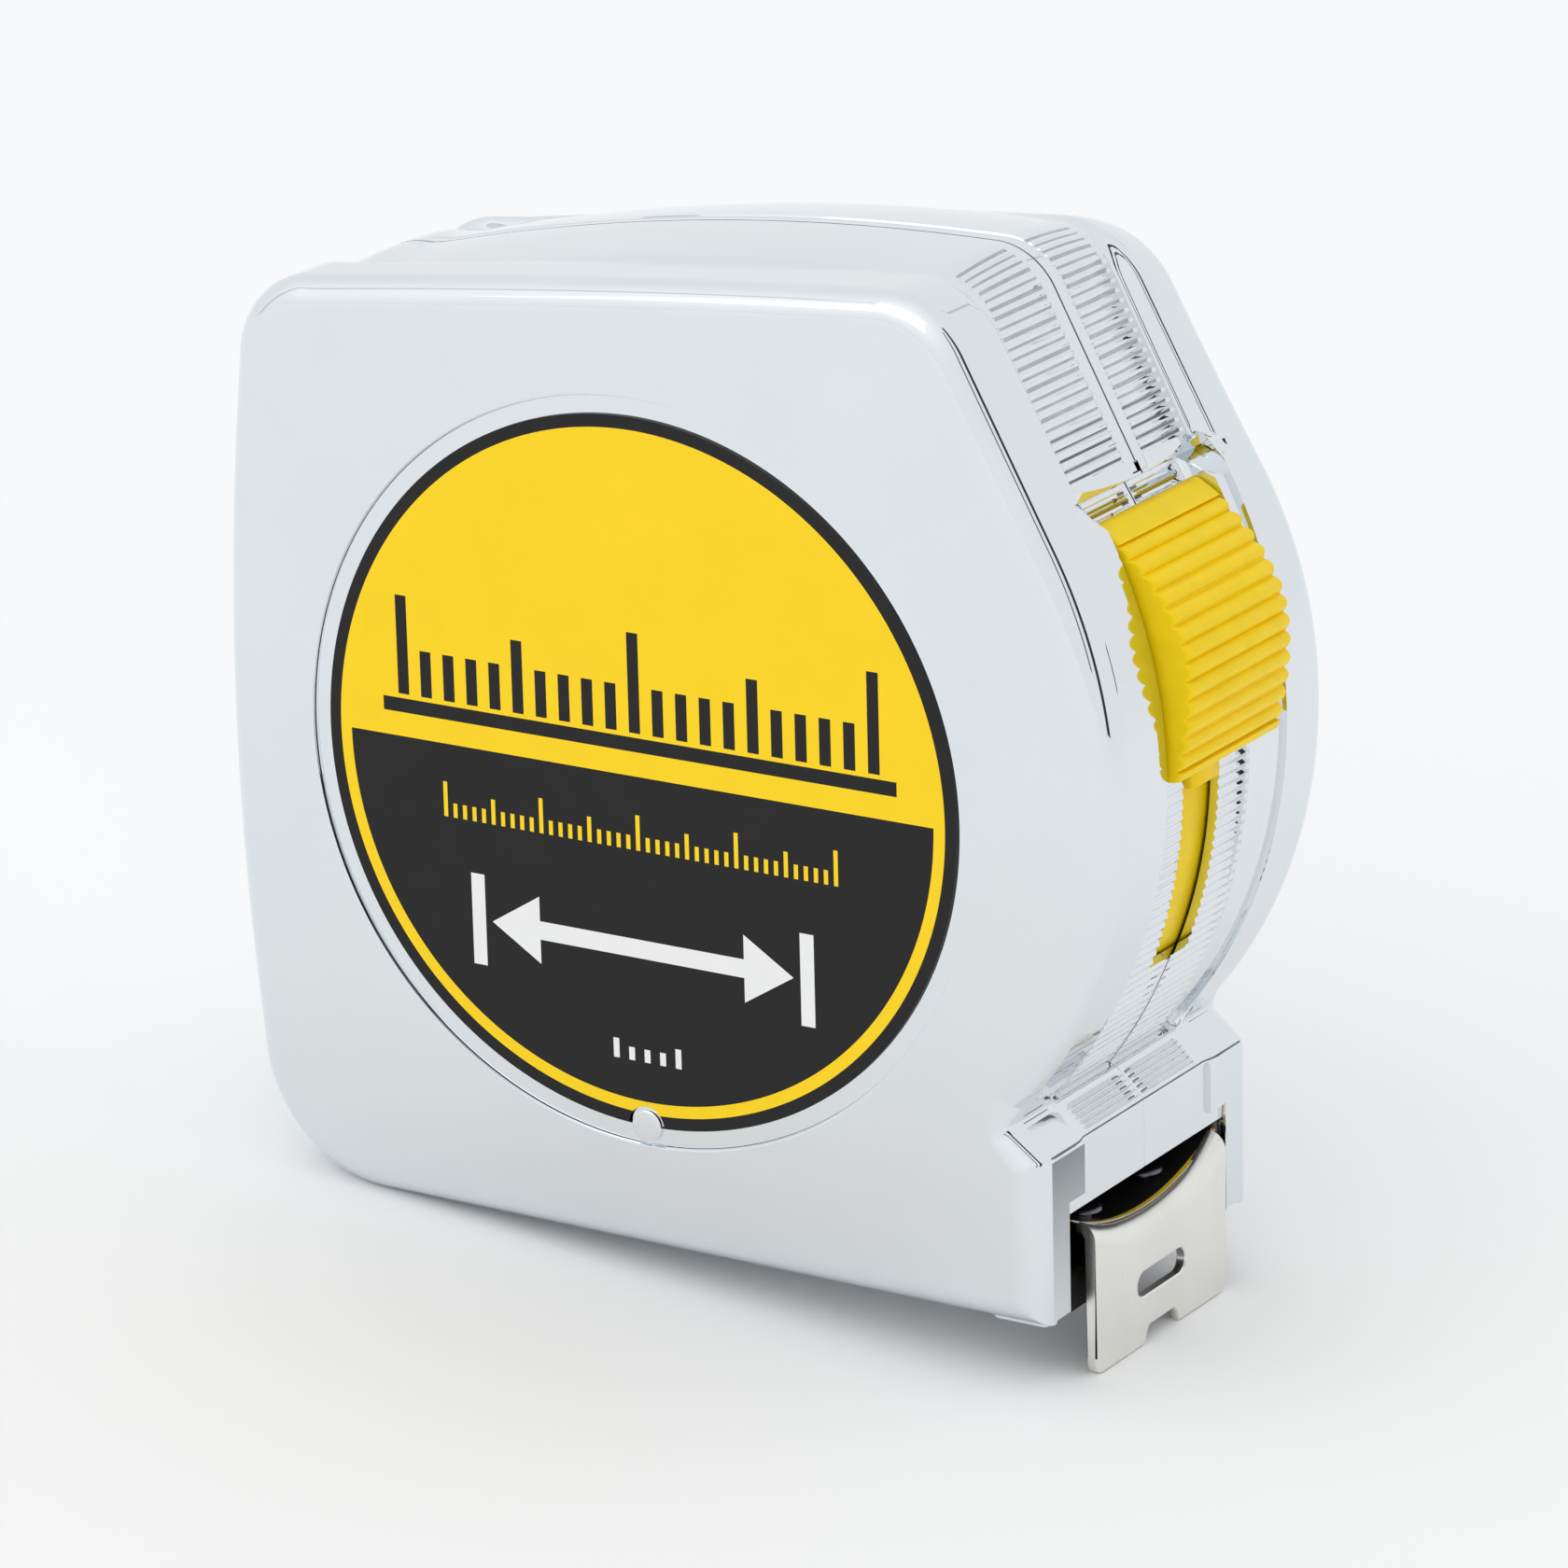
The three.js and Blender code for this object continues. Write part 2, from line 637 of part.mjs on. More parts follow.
function reelDrum() {
  const half = bladeWidth / 2;
  const outer = coilRadius - coilDepth - fit;
  const shell = ring(outer - drumWall, outer, -half, half);
  const web = ring(hubRadius, outer - bite, half - drumWeb, half);
  const hub = ring(arborRadius + fit, hubRadius + bite, half - hubLength, half);
  const anchorTop = reelZ + outer - drumWall;
  const anchor = box(
    reelX - anchorWidth / 2, reelX + anchorWidth / 2, -half + fit, half - fit,
    anchorTop - anchorHeight, anchorTop + drumWall / 2,
  );
  return shell.add(web).add(hub).add(anchor);
}

function reelDisc(side) {
  const near = bladeWidth / 2 + fit;
  const low = side > 0 ? near : -near - discThickness;
  return ring(discBore, coilRadius + discOverhang, low, low + discThickness);
}

// Flat spiral spring between the fixed arbor and the drum.
function powerSpring() {
  const half = bladeWidth / 2 - springMargin;
  const perTurn = 16;
  const count = springTurns * perTurn;
  const growth = (springOuter - springInner) / count;
  const outer = [];
  const inner = [];
  for (let i = 0; i <= count; i += 1) {
    const angle = (i / perTurn) * 2 * Math.PI;
    const radius = springInner + growth * i;
    outer.push([radius + springThickness, angle]);
    inner.push([radius, angle]);
  }
  const shape = new THREE.Shape();
  const place = ([radius, angle]) => [reelX + radius * Math.cos(angle), reelZ + radius * Math.sin(angle)];
  shape.moveTo(...place(outer[0]));
  outer.slice(1).forEach((point) => shape.lineTo(...place(point)));
  inner.reverse().forEach((point) => shape.lineTo(...place(point)));
  shape.closePath();
  return slabY(shape, -half, half - springSetback);
}

function springArbor() {
  const inside = halfWidth - wall - fit;
  const post = barY(arborRadius, -inside, inside, reelX, reelZ, 32);
  const spigot = barY(spigotRadius, -inside - spigotLength, -inside + bite, reelX, reelZ, 24);
  const slitReach = bladeWidth / 2 - springMargin;
  const slit = box(
    reelX - arborSlit / 2, reelX + arborSlit / 2, -slitReach, slitReach,
    reelZ, reelZ + arborRadius + clearCut,
  );
  const bore = barY(screwRadius + screwFit, inside - arborScrewLength, inside + clearCut, reelX, reelZ, 12);
  return post.add(spigot).subtract(slit).subtract(bore);
}

// ---------- lock slider ----------
function padOutline() {
  const shape = new THREE.Shape();
  const low = channelPoint(channelRadius + fit, padLow);
  shape.moveTo(low.x, low.y);
  const toe = channelPoint(padBottomRadius, padLow);
  shape.lineTo(toe.x, toe.y);
  const steps = padRidges * 4;
  for (let i = 1; i < steps; i += 1) {
    const angle = padLow + ((padHigh - padLow) * i) / steps;
    const wave = padRidgeDepth * (1 - Math.abs(((i + 2) % 4) - 2) / 2);
    const point = channelPoint(padCrest(angle) - wave, angle);
    shape.lineTo(point.x, point.y);
  }
  const high = channelPoint(padTopRadius, padHigh);
  shape.lineTo(high.x, high.y);
  const back = channelPoint(channelRadius + fit, padHigh);
  shape.lineTo(back.x, back.y);
  shape.absarc(channelX, channelZ, channelRadius + fit, rad(padHigh), rad(padLow), true);
  return shape;
}

// Crest radius of the thumb pad: it rises to a peak and falls faster towards the top.
function padCrest(angle) {
  if (angle > padPeak) {
    const t = (angle - padPeak) / (padHigh - padPeak);
    return THREE.MathUtils.lerp(padPeakRadius, padTopRadius, t * t);
  }
  const t = (padPeak - angle) / (padPeak - padLow);
  return THREE.MathUtils.lerp(padPeakRadius, padBottomRadius, t * t * (padFall + (1 - padFall) * t));
}

function lockSlider() {
  const armOuter = channelRadius - floorWall - fit;
  const armInner = armOuter - armThickness;
  const pad = slabY(padOutline(), -padHalf, padHalf);
  const stem = slabY(
    channelStrip(armInner + bite, channelRadius + fit + bite, stemLow, stemHigh), -stemHalf, stemHalf,
  );
  const arm = slabY(channelStrip(armInner, armOuter, armLow, stemHigh), -armHalf, armHalf, 10);
  const guide = slabY(channelStrip(armInner, armOuter, guideLow, guideHigh), -guideHalf, guideHalf, 8);
  return pad.add(stem).add(arm).add(guide);
}

// ---------- trim ----------
function labelDisc() {
  const base = -halfWidth + labelRecessDepth;
  const disc = barY(labelRadius, base - labelThickness, base, reelX, reelZ, 64);
  const notch = barY(
    labelBossRadius + fit, base - clearCut, base + clearCut, reelX, reelZ - labelRadius, 24,
  );
  return disc.subtract(notch);
}

// Black liner of the mouth: a sill under the blade with two side posts.
function mouthBumper() {
  const outer = mouthHalf - bumperFit;
  const sillTop = bladeCentreZ - tongueDrop - rivetHead - bumperFloor;
  const rear = mouthRear + bumperFit;
  const front = noseX - bumperSet;
  const top = mouthTop - bumperFit;
  const sill = box(rear, front, -outer, outer, -bumperBelow, sillTop);
  const left = box(rear, front, -outer, -outer + bumperPost, -bumperBelow, top);
  const right = box(rear, front, outer - bumperPost, outer, -bumperBelow, top);
  return sill.add(left).add(right);
}

function beltClip() {
  const foot = halfWidth + clipSeat;
  const footFace = foot + clipThickness;
  const bendZ = clipTop - clipBendDrop;
  const footLow = clipScrewZ - clipFootLength;
  const inner = foot + clipGap + clipThickness;  // inner face of the long leg
  const outer = inner + clipThickness;
  const bendY = (foot + outer) / 2;
  const neckZLow = clipBottom + clipTipReach;
  const side = new THREE.Shape();
  side.moveTo(foot, footLow);
  side.lineTo(footFace, footLow);
  side.lineTo(footFace, bendZ);
  side.absarc(bendY, bendZ, bendY - footFace, rad(180), rad(0), true);
  side.lineTo(inner, neckZLow + clipTipReach);
  side.lineTo(foot + clipNeckGap, neckZLow);
  side.lineTo(foot + clipTipGap, clipBottom);
  side.lineTo(foot + clipTipGap + clipThickness, clipBottom);
  side.lineTo(foot + clipNeckGap + clipThickness, neckZLow);
  side.lineTo(outer, neckZLow + clipTipReach);
  side.lineTo(outer, bendZ);
  side.absarc(bendY, bendZ, outer - bendY, rad(0), rad(180), false);
  side.closePath();
  const clip = slabX(side, reelX - clipWidth / 2, reelX + clipWidth / 2);
  const hole = barY(screwRadius + clipHoleFit, foot - clearCut, footFace + bite, reelX, clipScrewZ, 20);
  const driver = barY(
    screwHeadRadius + clipDriverRoom, footFace + bite, outer + clearCut, reelX, clipScrewZ, 24,
  );
  return clip.subtract(hole).subtract(driver);
}

// ---------- scene ----------
const chrome = { color: 0xdfe4e8, roughness: 0.12, metalness: 1.0 };
const steel = { color: 0xc9c6bf, roughness: 0.32, metalness: 1.0 };
const yellow = { color: 0xf2c81a, roughness: 0.45, metalness: 0.0 };
const black = { color: 0x1b1b1c, roughness: 0.6, metalness: 0.0 };
const zinc = { color: 0xb9bcc0, roughness: 0.35, metalness: 1.0 };

const tape = new THREE.Group();

function place(parent, name, solid, look) {
  const mesh = new THREE.Mesh(toGeometry(solid), new THREE.MeshStandardMaterial(look));
  mesh.name = name;
  parent.add(mesh);
}

place(tape, 'front_case_half', frontCaseHalf(), chrome);
place(tape, 'rear_case_half', rearCaseHalf(), chrome);
place(tape, 'label_disc', labelDisc(), yellow);
place(tape, 'mouth_bumper', mouthBumper(), black);
place(tape, 'spring_arbor', springArbor(), black);
place(tape, 'arbor_screw', screwAt(
  reelX, reelZ, halfWidth + screwHeadHeight + screwFit, arborScrewLength,
), zinc);
place(tape, 'belt_clip', beltClip(), chrome);
place(tape, 'belt_clip_screw', screwAt(
  reelX, clipScrewZ, halfWidth + clipSeat + clipThickness + screwFit + screwHeadHeight, clipScrewLength,
), zinc);
screwPlaces.forEach(([x, z], i) => {
  place(tape, `case_screw_${i + 1}`, screwAt(x, z, halfWidth - screwSink, screwLength), zinc);
});

const reel = new THREE.Group();
place(reel, 'blade_coil', bladeCoil(), yellow);
place(reel, 'reel_drum', reelDrum(), black);
place(reel, 'reel_disc_label_side', reelDisc(-1), black);
place(reel, 'reel_disc_clip_side', reelDisc(1), black);
place(reel, 'power_spring', powerSpring(), steel);
tape.add(reel);

const blade = new THREE.Group();
place(blade, 'blade_lead', bladeLead(), yellow);
rivetPlaces().forEach(([x, y], i) => place(blade, `hook_rivet_${i + 1}`, rivet(x, y), steel));
place(blade, 'end_hook', endHook(), steel);
tape.add(blade);

place(tape, 'lock_slider', lockSlider(), yellow);

export default tape;
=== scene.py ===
import math
import bmesh
import bpy
import numpy as np
from mathutils import Matrix, Vector
from mathutils.geometry import delaunay_2d_cdt


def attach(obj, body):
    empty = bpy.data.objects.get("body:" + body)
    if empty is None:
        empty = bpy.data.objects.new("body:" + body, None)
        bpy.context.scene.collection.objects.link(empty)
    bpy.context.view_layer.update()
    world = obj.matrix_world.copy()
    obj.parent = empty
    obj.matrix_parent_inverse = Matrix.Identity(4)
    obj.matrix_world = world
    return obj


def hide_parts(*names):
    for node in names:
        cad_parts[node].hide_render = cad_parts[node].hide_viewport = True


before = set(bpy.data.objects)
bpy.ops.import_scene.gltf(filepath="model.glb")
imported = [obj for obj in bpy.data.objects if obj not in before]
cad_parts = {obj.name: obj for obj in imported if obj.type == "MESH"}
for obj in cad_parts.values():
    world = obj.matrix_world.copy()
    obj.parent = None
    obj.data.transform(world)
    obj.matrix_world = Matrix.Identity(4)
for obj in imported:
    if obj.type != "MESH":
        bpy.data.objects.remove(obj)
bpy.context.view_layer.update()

scene = bpy.context.scene

# Sizes are in millimetres here and turned into metres when a mesh is made.
MM = 0.001
HALF = 18.75            # half the case's thickness
FACE_ROUND = 2.6
REEL = (1.5, 43.7)      # reel axis and label centre
BASE_REAR = -27.4
REAR_LOW_R = 13.0
REAR_BULGE = -43.85
REAR_TOP = (-31.5, 75.6)
REAR_TOP_R = 8.2
TOP_CROWN = 87.6
TOP_FRONT = (31.9, 89.8)
TOP_FRONT_R = 9.0
CHEEK = (4.3, 47.6)
CHEEK_R = 44.5
CHEEK_LOW, CHEEK_HIGH = -39.4, 28.8
NOSE_X, NOSE_STEP, NOSE_TOP = 40.7, 0.4, 15.1
NECK = (37.9, 17.7)
FOOT = 0.6
BAND = 11.0
BAND_TOP = (24.0, 89.9)
BAND_TOP_R = 218.0
BAND_FRONT_X, BAND_FRONT_R = 31.1, 6.7
LIP = (41.1, 71.1)
CHANNEL = (1.1, 45.5)
CHANNEL_R = 45.5
CHANNEL_LOW, CHANNEL_HIGH = -37.4, 33.4
CHANNEL_HALF = 8.3      # where the channel's floor starts to rise to its rail
CHANNEL_WALL = 0.9
SLOT = 3.1
SLOT_LOW, SLOT_HIGH = -22.1, 26.0
MOUTH_HALF, MOUTH_TOP, MOUTH_REAR = 13.6, 8.9, 36.4
RECESS_R, RECESS = 33.7, 0.4
LABEL_R, LABEL_Y = 32.0, -18.6
LABEL_RING, LABEL_FIELD = 30.86, 29.75
BOSS_R = 1.5
WELL_R, WELL_DEPTH = 2.75, 2.1
HOOK_BOTTOM, HOOK_FACE, HOOK_BACK = -6.3, 42.3, 41.3
BLADE_END = 40.7
PAD_LOW, PAD_HIGH = 2.4, 30.2
SCREWS = [(-32.5, 9.6), (-33.6, 74.4), (28.0, 81.0), (35.9, 12.4)]
CLIP_SCREW_Z = 72.0


# ---------- mesh building ----------
class Shape:
    def __init__(self):
        self.verts, self.faces, self.mats, self.smooth, self.count = [], [], [], [], 0

    def add(self, verts, faces, mat=0, smooth=True):
        verts = np.asarray(verts, float).reshape(-1, 3)
        self.verts.append(verts)
        for f in faces:
            self.faces.append([int(i) + self.count for i in f])
            self.mats.append(mat)
            self.smooth.append(smooth)
        self.count += len(verts)

    def grid(self, p, mat=0, flip=False, keep=None, wrap=False, smooth=True):
        """p[i][j] is a point; joins neighbours into quads. mat may be a table like keep."""
        p = np.asarray(p, float)
        nu, nv = p.shape[:2]
        faces, mats = [], []
        for i in range(nu - 1):
            for j in range(nv if wrap else nv - 1):
                if keep is not None and not keep[i][j]:
                    continue
                k = (j + 1) % nv
                q = [i * nv + j, i * nv + k, (i + 1) * nv + k, (i + 1) * nv + j]
                faces.append(q[::-1] if flip else q)
                mats.append(mat if isinstance(mat, int) else int(mat[i][j]))
        self.add(p.reshape(-1, 3), faces, 0, smooth)
        if mats:
            self.mats[-len(mats):] = mats

    def build(self, name, materials, body, sharp, weld):
        me = bpy.data.meshes.new(name)
        co = np.concatenate(self.verts) * MM
        me.from_pydata([tuple(v) for v in co], [], self.faces)
        for poly, m, s in zip(me.polygons, self.mats, self.smooth):
            poly.material_index = m
            poly.use_smooth = s
        bm = bmesh.new()
        bm.from_mesh(me)
        bmesh.ops.remove_doubles(bm, verts=bm.verts, dist=weld * MM)
        loose = [v for v in bm.verts if not v.link_faces]
        bmesh.ops.delete(bm, geom=loose, context="VERTS")
        bm.to_mesh(me)
        bm.free()
        flags = [p.use_smooth for p in me.polygons]
        me.set_sharp_from_angle(angle=math.radians(sharp))
        me.polygons.foreach_set("use_smooth", flags)
        for m in materials:
            me.materials.append(m)
        ob = bpy.data.objects.new(name, me)
        scene.collection.objects.link(ob)
        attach(ob, body)
        return ob


def add_piece(shape, name, materials, body, cad, sharp, weld=0.002):
    """Builds a piece that stands for a CAD node, with the given materials, and hides that node."""
    ob = shape.build(name, materials, body, sharp, weld)
    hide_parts(cad)


def octagon(a0, a1, b0, b1, e):
    """A rectangle's outline with its corners cut by e."""
    d = math.copysign(e, b1 - b0)
    return [(a0 + e, b0), (a1 - e, b0), (a1, b0 + d), (a1, b1 - d), (a1 - e, b1), (a0 + e, b1), (a0, b1 - d),
            (a0, b0 + d)]


def bar(shape, rows, flip, forward):
    """A closed bar through rows of eight points, with its two ends."""
    rows, ends = np.array(rows), [list(range(8)), list(range(8))[::-1]]
    shape.grid(rows, wrap=True, flip=flip)
    shape.add(rows[0], [ends[not forward]])
    shape.add(rows[-1], [ends[forward]])


def line(a, b, n):
    t = np.linspace(0, 1, n + 1)[:n, None]
    return np.array(a)[None] * (1 - t) + np.array(b)[None] * t


def arc(c, r, a0, a1, n, last=False):
    t = np.radians(np.linspace(a0, a1, n + 1)[: n + 1 if last else n])
    return np.stack([c[0] + r * np.cos(t), c[1] + r * np.sin(t)], 1)


def bezier(a, b, c, n, last=False):
    t = np.linspace(0, 1, n + 1)[: n + 1 if last else n, None]
    a, b, c = map(np.array, (a, b, c))
    return a * (1 - t) ** 2 + 2 * b * t * (1 - t) + c * t * t


def rounded(prev, corner, nxt, r):
    """Centre, start angle and end angle of the arc that rounds a corner."""
    p, c, n = (np.array(v, float) for v in (prev, corner, nxt))
    f, t = (p - c) / np.linalg.norm(p - c), (n - c) / np.linalg.norm(n - c)
    h = math.acos(float(f @ t)) / 2
    s, e = c + f * r / math.tan(h), c + t * r / math.tan(h)
    m = (f + t) / np.linalg.norm(f + t)
    o = c + m * r / math.sin(h)
    a0 = math.degrees(math.atan2(*(s - o)[::-1]))
    a1 = math.degrees(math.atan2(*(e - o)[::-1]))
    if a1 - a0 > 180:
        a1 -= 360
    if a1 - a0 < -180:
        a1 += 360
    return o, a0, a1


def arclength(pts):
    return np.r_[0, np.cumsum(np.linalg.norm(np.diff(pts, axis=0), axis=1))]


def resample(pts, n):
    d = arclength(pts)
    t = np.linspace(0, d[-1], n + 1)[:n]
    return np.stack([np.interp(t, d, pts[:, k]) for k in (0, 1)], 1)


# ---------- case outlines in X and Z ----------
# The stretches of an outline, anticlockwise from the rear of the base, and how many points each has.
N = dict(base=30, front=18, facet=100, bow=432, slant=200, top=60, rear_top=18, back=40, rear_low=26)
START = dict(zip(N, np.cumsum([0, *N.values()]).tolist()))
TOTAL = sum(N.values())
BASE_X = [BASE_REAR, -10, 8, 22, 30, 33, 34.2, 34.5, 34.55, 34.8, 35.05, 35.1, 35.2, 35.7, 36.2, 36.35,
          MOUTH_REAR, 36.45, 37, 37.8, 38.6, 39.2, 39.6, 39.85, 39.95, 40.1, 40.3, 40.5, 40.7, 40.9]
FOOT_X = [34.5, 34.62, 34.98, 35.1]
NOSE_ROUND, NECK_ROUND = 0.45, 0.7
RECESS_TOP = 10.2       # the front is set back below this, beside the mouth


def base_points(front, inset, foot):
    xs = np.array(BASE_X, float)
    xs = np.where(xs > MOUTH_REAR, MOUTH_REAR + (xs - MOUTH_REAR) * (front - MOUTH_REAR)
                  / (NOSE_X + NOSE_STEP - MOUTH_REAR), xs)
    zs = np.full(len(xs), float(inset))
    if foot:
        toe = front - 1.2
        zs = np.interp(xs, FOOT_X + [toe - 0.1, toe + 0.1, front],
                       [0, -0.03, -0.57, -FOOT, -FOOT, -FOOT + 0.05, 0.3])
    return np.stack([xs, zs], 1)


def front_points(front, inset, foot, top, recess=None):
    start = 0.3 if foot else inset
    zs = np.array([start, 1.0, 2.2, 4, 6, 8, 8.5, 8.8, MOUTH_TOP, 9.0, 9.5, 10.1, 10.15, 10.25, 10.4,
                   12, 13.6, top - 0.35])
    zs = np.maximum(zs, start)
    xs = np.full(len(zs), float(front))
    if recess is not None:
        xs = np.where(zs < RECESS_TOP, recess, xs)
    return np.stack([xs, zs], 1)


def rear_points(inset):
    c = (BASE_REAR, REAR_LOW_R)
    a = (REAR_TOP[0] - (REAR_TOP_R - inset), REAR_TOP[1])
    b = (REAR_BULGE + inset, (REAR_TOP[1] + REAR_LOW_R) / 2)
    e = (BASE_REAR - REAR_LOW_R + inset, REAR_LOW_R)
    return [
        arc(REAR_TOP, REAR_TOP_R - inset, 90, 180, N["rear_top"]),
        bezier(a, b, e, N["back"]),
        arc(c, REAR_LOW_R - inset, 180, 270, N["rear_low"]),
    ]


def facet_points(front, top, neck, start_bow):
    """Rounded nose edge, sloping facet and the hollow of the neck."""
    o, a0, a1 = rounded((front, 0), (front, top), neck, NOSE_ROUND)
    p1 = arc(o, NOSE_ROUND, a0, a1, 5, True)
    o, a0, a1 = rounded((front, top), neck, start_bow, NECK_ROUND)
    p2 = arc(o, NECK_ROUND, a0, a1, 6, True)
    pts = np.concatenate([p1, line(p1[-1], p2[0], 60), p2, [start_bow]])
    return resample(pts, N["facet"])


def cheek_outline(inset, foot=False, recess=None):
    """Outline of the case beside the band, drawn in by inset."""
    front = NOSE_X + NOSE_STEP - inset
    top = NOSE_TOP - 0.4 * inset
    neck = (NECK[0] - 0.65 * inset, NECK[1] - 0.4 * inset)
    bow = arc(CHEEK, CHEEK_R - inset, CHEEK_LOW, CHEEK_HIGH, N["bow"], True)
    corner = (TOP_FRONT[0] - 0.65 * inset, TOP_FRONT[1] - inset)
    rear = (REAR_TOP[0], REAR_TOP[1] + REAR_TOP_R - inset)
    r = max(TOP_FRONT_R - inset, 1)
    o, a0, a1 = rounded(bow[-1], corner, rear, r)
    turn = arc(o, r, a0, a1, 60, True)
    slant = resample(np.concatenate([line(bow[-1], turn[0], 80), turn]), N["slant"])
    crown = bezier(turn[-1], ((TOP_FRONT[0] + REAR_TOP[0]) / 2, TOP_CROWN - inset), rear, N["top"])
    return np.concatenate([
        base_points(front, inset, foot),
        front_points(front, inset, foot, top, recess),
        facet_points(front, top, neck, tuple(bow[0])),
        bow[:-1], slant, crown, *rear_points(inset),
    ])


def lowered(outline, y):
    """The clip side falls away towards its top edge, and more so towards the rear."""
    from_z, over_z, from_x, over_x = 50.0, 34.0, 12.0, 40.0
    drop, rear_drop, rear_start = 2.3, 0.45, 5.0
    t = np.clip((outline[:, 1] - from_z) / over_z, 0, 1)
    rearward = np.clip((from_x - outline[:, 0]) / over_x, 0, 1)
    start = BAND - rear_start * rearward
    reach = np.clip((y - start) / (HALF - start), 0, 1) ** (1.5 - 0.5 * rearward)
    out = outline.copy()
    out[:, 1] -= (drop + rear_drop * rearward) * reach * t * t * (3 - 2 * t)
    return out


def band_outline(rail):
    """Outline of the ribbed band, whose bow is the lock channel's floor or its rail."""
    inset = 0.8
    floor = arc(CHANNEL, CHANNEL_R, CHANNEL_LOW, CHANNEL_HIGH, N["bow"], True)
    bow = arc(CHEEK, CHEEK_R - 0.4, CHEEK_LOW, CHEEK_HIGH, N["bow"], True) if rail else floor
    o, a0, a1 = rounded(LIP, (BAND_FRONT_X, BAND_TOP[1]), BAND_TOP, BAND_FRONT_R)
    turn = arc(o, BAND_FRONT_R, a0, a1, 60, True)
    lip_top = (LIP[0], LIP[1] + 0.12)
    lip = np.concatenate([line(floor[-1], (LIP[0] - 0.15, LIP[1] - 0.04), 5), [lip_top]])
    rest = resample(np.concatenate([line(lip_top, turn[0], 120), turn]), N["slant"] - len(lip))
    slant = np.concatenate([lip, rest])
    centre = (BAND_TOP[0], BAND_TOP[1] - BAND_TOP_R)
    rear_x = REAR_TOP[0]
    end_angle = math.degrees(math.acos((rear_x - 3 - BAND_TOP[0]) / BAND_TOP_R))
    crown = arc(centre, BAND_TOP_R, 90, end_angle, 400, True)
    crown = crown[crown[:, 0] > rear_x + 4]
    rear = (rear_x, REAR_TOP[1] + REAR_TOP_R - inset)
    curve = bezier(crown[-1], (rear_x + 2, rear[1] + 0.2), rear, 8, True)
    crown = resample(np.concatenate([[turn[-1]], crown[crown[:, 0] < turn[-1][0]], curve]), N["top"])
    # the base and the nose are flush with the cheeks, the back is set in by a little
    lower = rear_points(inset)
    fade = np.linspace(1, 0, N["rear_low"])[:, None]
    lower[2] = lower[2] * fade + rear_points(0.0)[2] * (1 - fade)
    return np.concatenate([
        base_points(NOSE_X, 0, True),
        front_points(NOSE_X, 0, True, NOSE_TOP),
        facet_points(NOSE_X, NOSE_TOP, NECK, tuple(floor[0])),
        bow[:-1], slant, crown, *lower,
    ])


def inward(pts):
    """Unit normals that point into the outline, which runs anticlockwise."""
    d = np.roll(pts, -1, 0) - np.roll(pts, 1, 0)
    d /= np.maximum(np.linalg.norm(d, axis=1), 1e-9)[:, None]
    return np.stack([-d[:, 1], d[:, 0]], 1)


def region(name):
    a = START[name]
    return slice(a, a + N[name])


FLOOR = band_outline(rail=False)
RAIL = band_outline(rail=True)
FLOOR_IN = inward(FLOOR)


def ribs(name, pitch, depth, skip_low, skip_high, fade_low=0.4, fade_high=0.4):
    """Groove depth along one region: ribs run across it, crest to crest one pitch apart."""
    s = arclength(FLOOR[region(name)])
    wave = (0.5 - 0.5 * np.cos(2 * np.pi * (s - skip_low) / pitch)) ** 0.8
    env = np.clip((s - skip_low) / fade_low, 0, 1) * np.clip((s[-1] - skip_high - s) / fade_high, 0, 1)
    out = np.zeros(TOTAL)
    out[region(name)] = depth * wave * env
    return out


RIB_PITCH, NOSE_PITCH = 0.93, 0.56
TOP_RIB_DEPTH, LOW_RIB_DEPTH = 0.24, 0.2
TOP_FADE = np.ones(TOTAL)
TOP_FADE[region("slant")] = np.clip(np.linspace(1.9, 0.3, N["slant"]), 0, 1)
TOP_RIBS = ribs("slant", RIB_PITCH, TOP_RIB_DEPTH, 3.5, 1.2, 0.1, 0.6) * TOP_FADE
FLOOR_RIBS = ribs("bow", RIB_PITCH, LOW_RIB_DEPTH, 0.6, 0.4)
NOSE_RIBS = ribs("facet", NOSE_PITCH, LOW_RIB_DEPTH, 0.6, 1.25, 0.05, 0.05)
# how far each stretch takes part in the band's crown, in its middle strip and in the soft step to the cheek
CROWN = np.zeros(TOTAL)
CROWN[region("slant")] = np.r_[np.zeros(5), np.ones(N["slant"] - 5)]
CROWN[region("top")] = 1
CROWN[region("rear_top")] = np.linspace(1, 0, N["rear_top"])
STRIP = np.zeros(TOTAL)
STRIP[region("slant")] = np.r_[np.zeros(9), np.ones(N["slant"] - 9)]
STRIP[region("top")] = np.linspace(1, 0.6, N["top"])
SOFT_STEP = np.zeros(TOTAL)
for _name in ("facet", "top", "rear_top", "back", "rear_low"):
    SOFT_STEP[region(_name)] = 1
SOFT_STEP[region("slant")] = np.clip((np.arange(N["slant"]) - 8) / 14, 0, 1)


CHEEK_EDGE = cheek_outline(0, True, NOSE_X)
CREASE_SHADE, NOSE_SHADE, GROOVE_SHADE = 1, 2, 3      # material numbers on the case halves: painted shade in creases, the nose's painted shade graded by height, and lighter painted shade in the top ribs' grooves
SEAM = 0.5                          # the ribs stop this far from the parting line
RAIL_Y, RIB_END = 9.4, 9.95


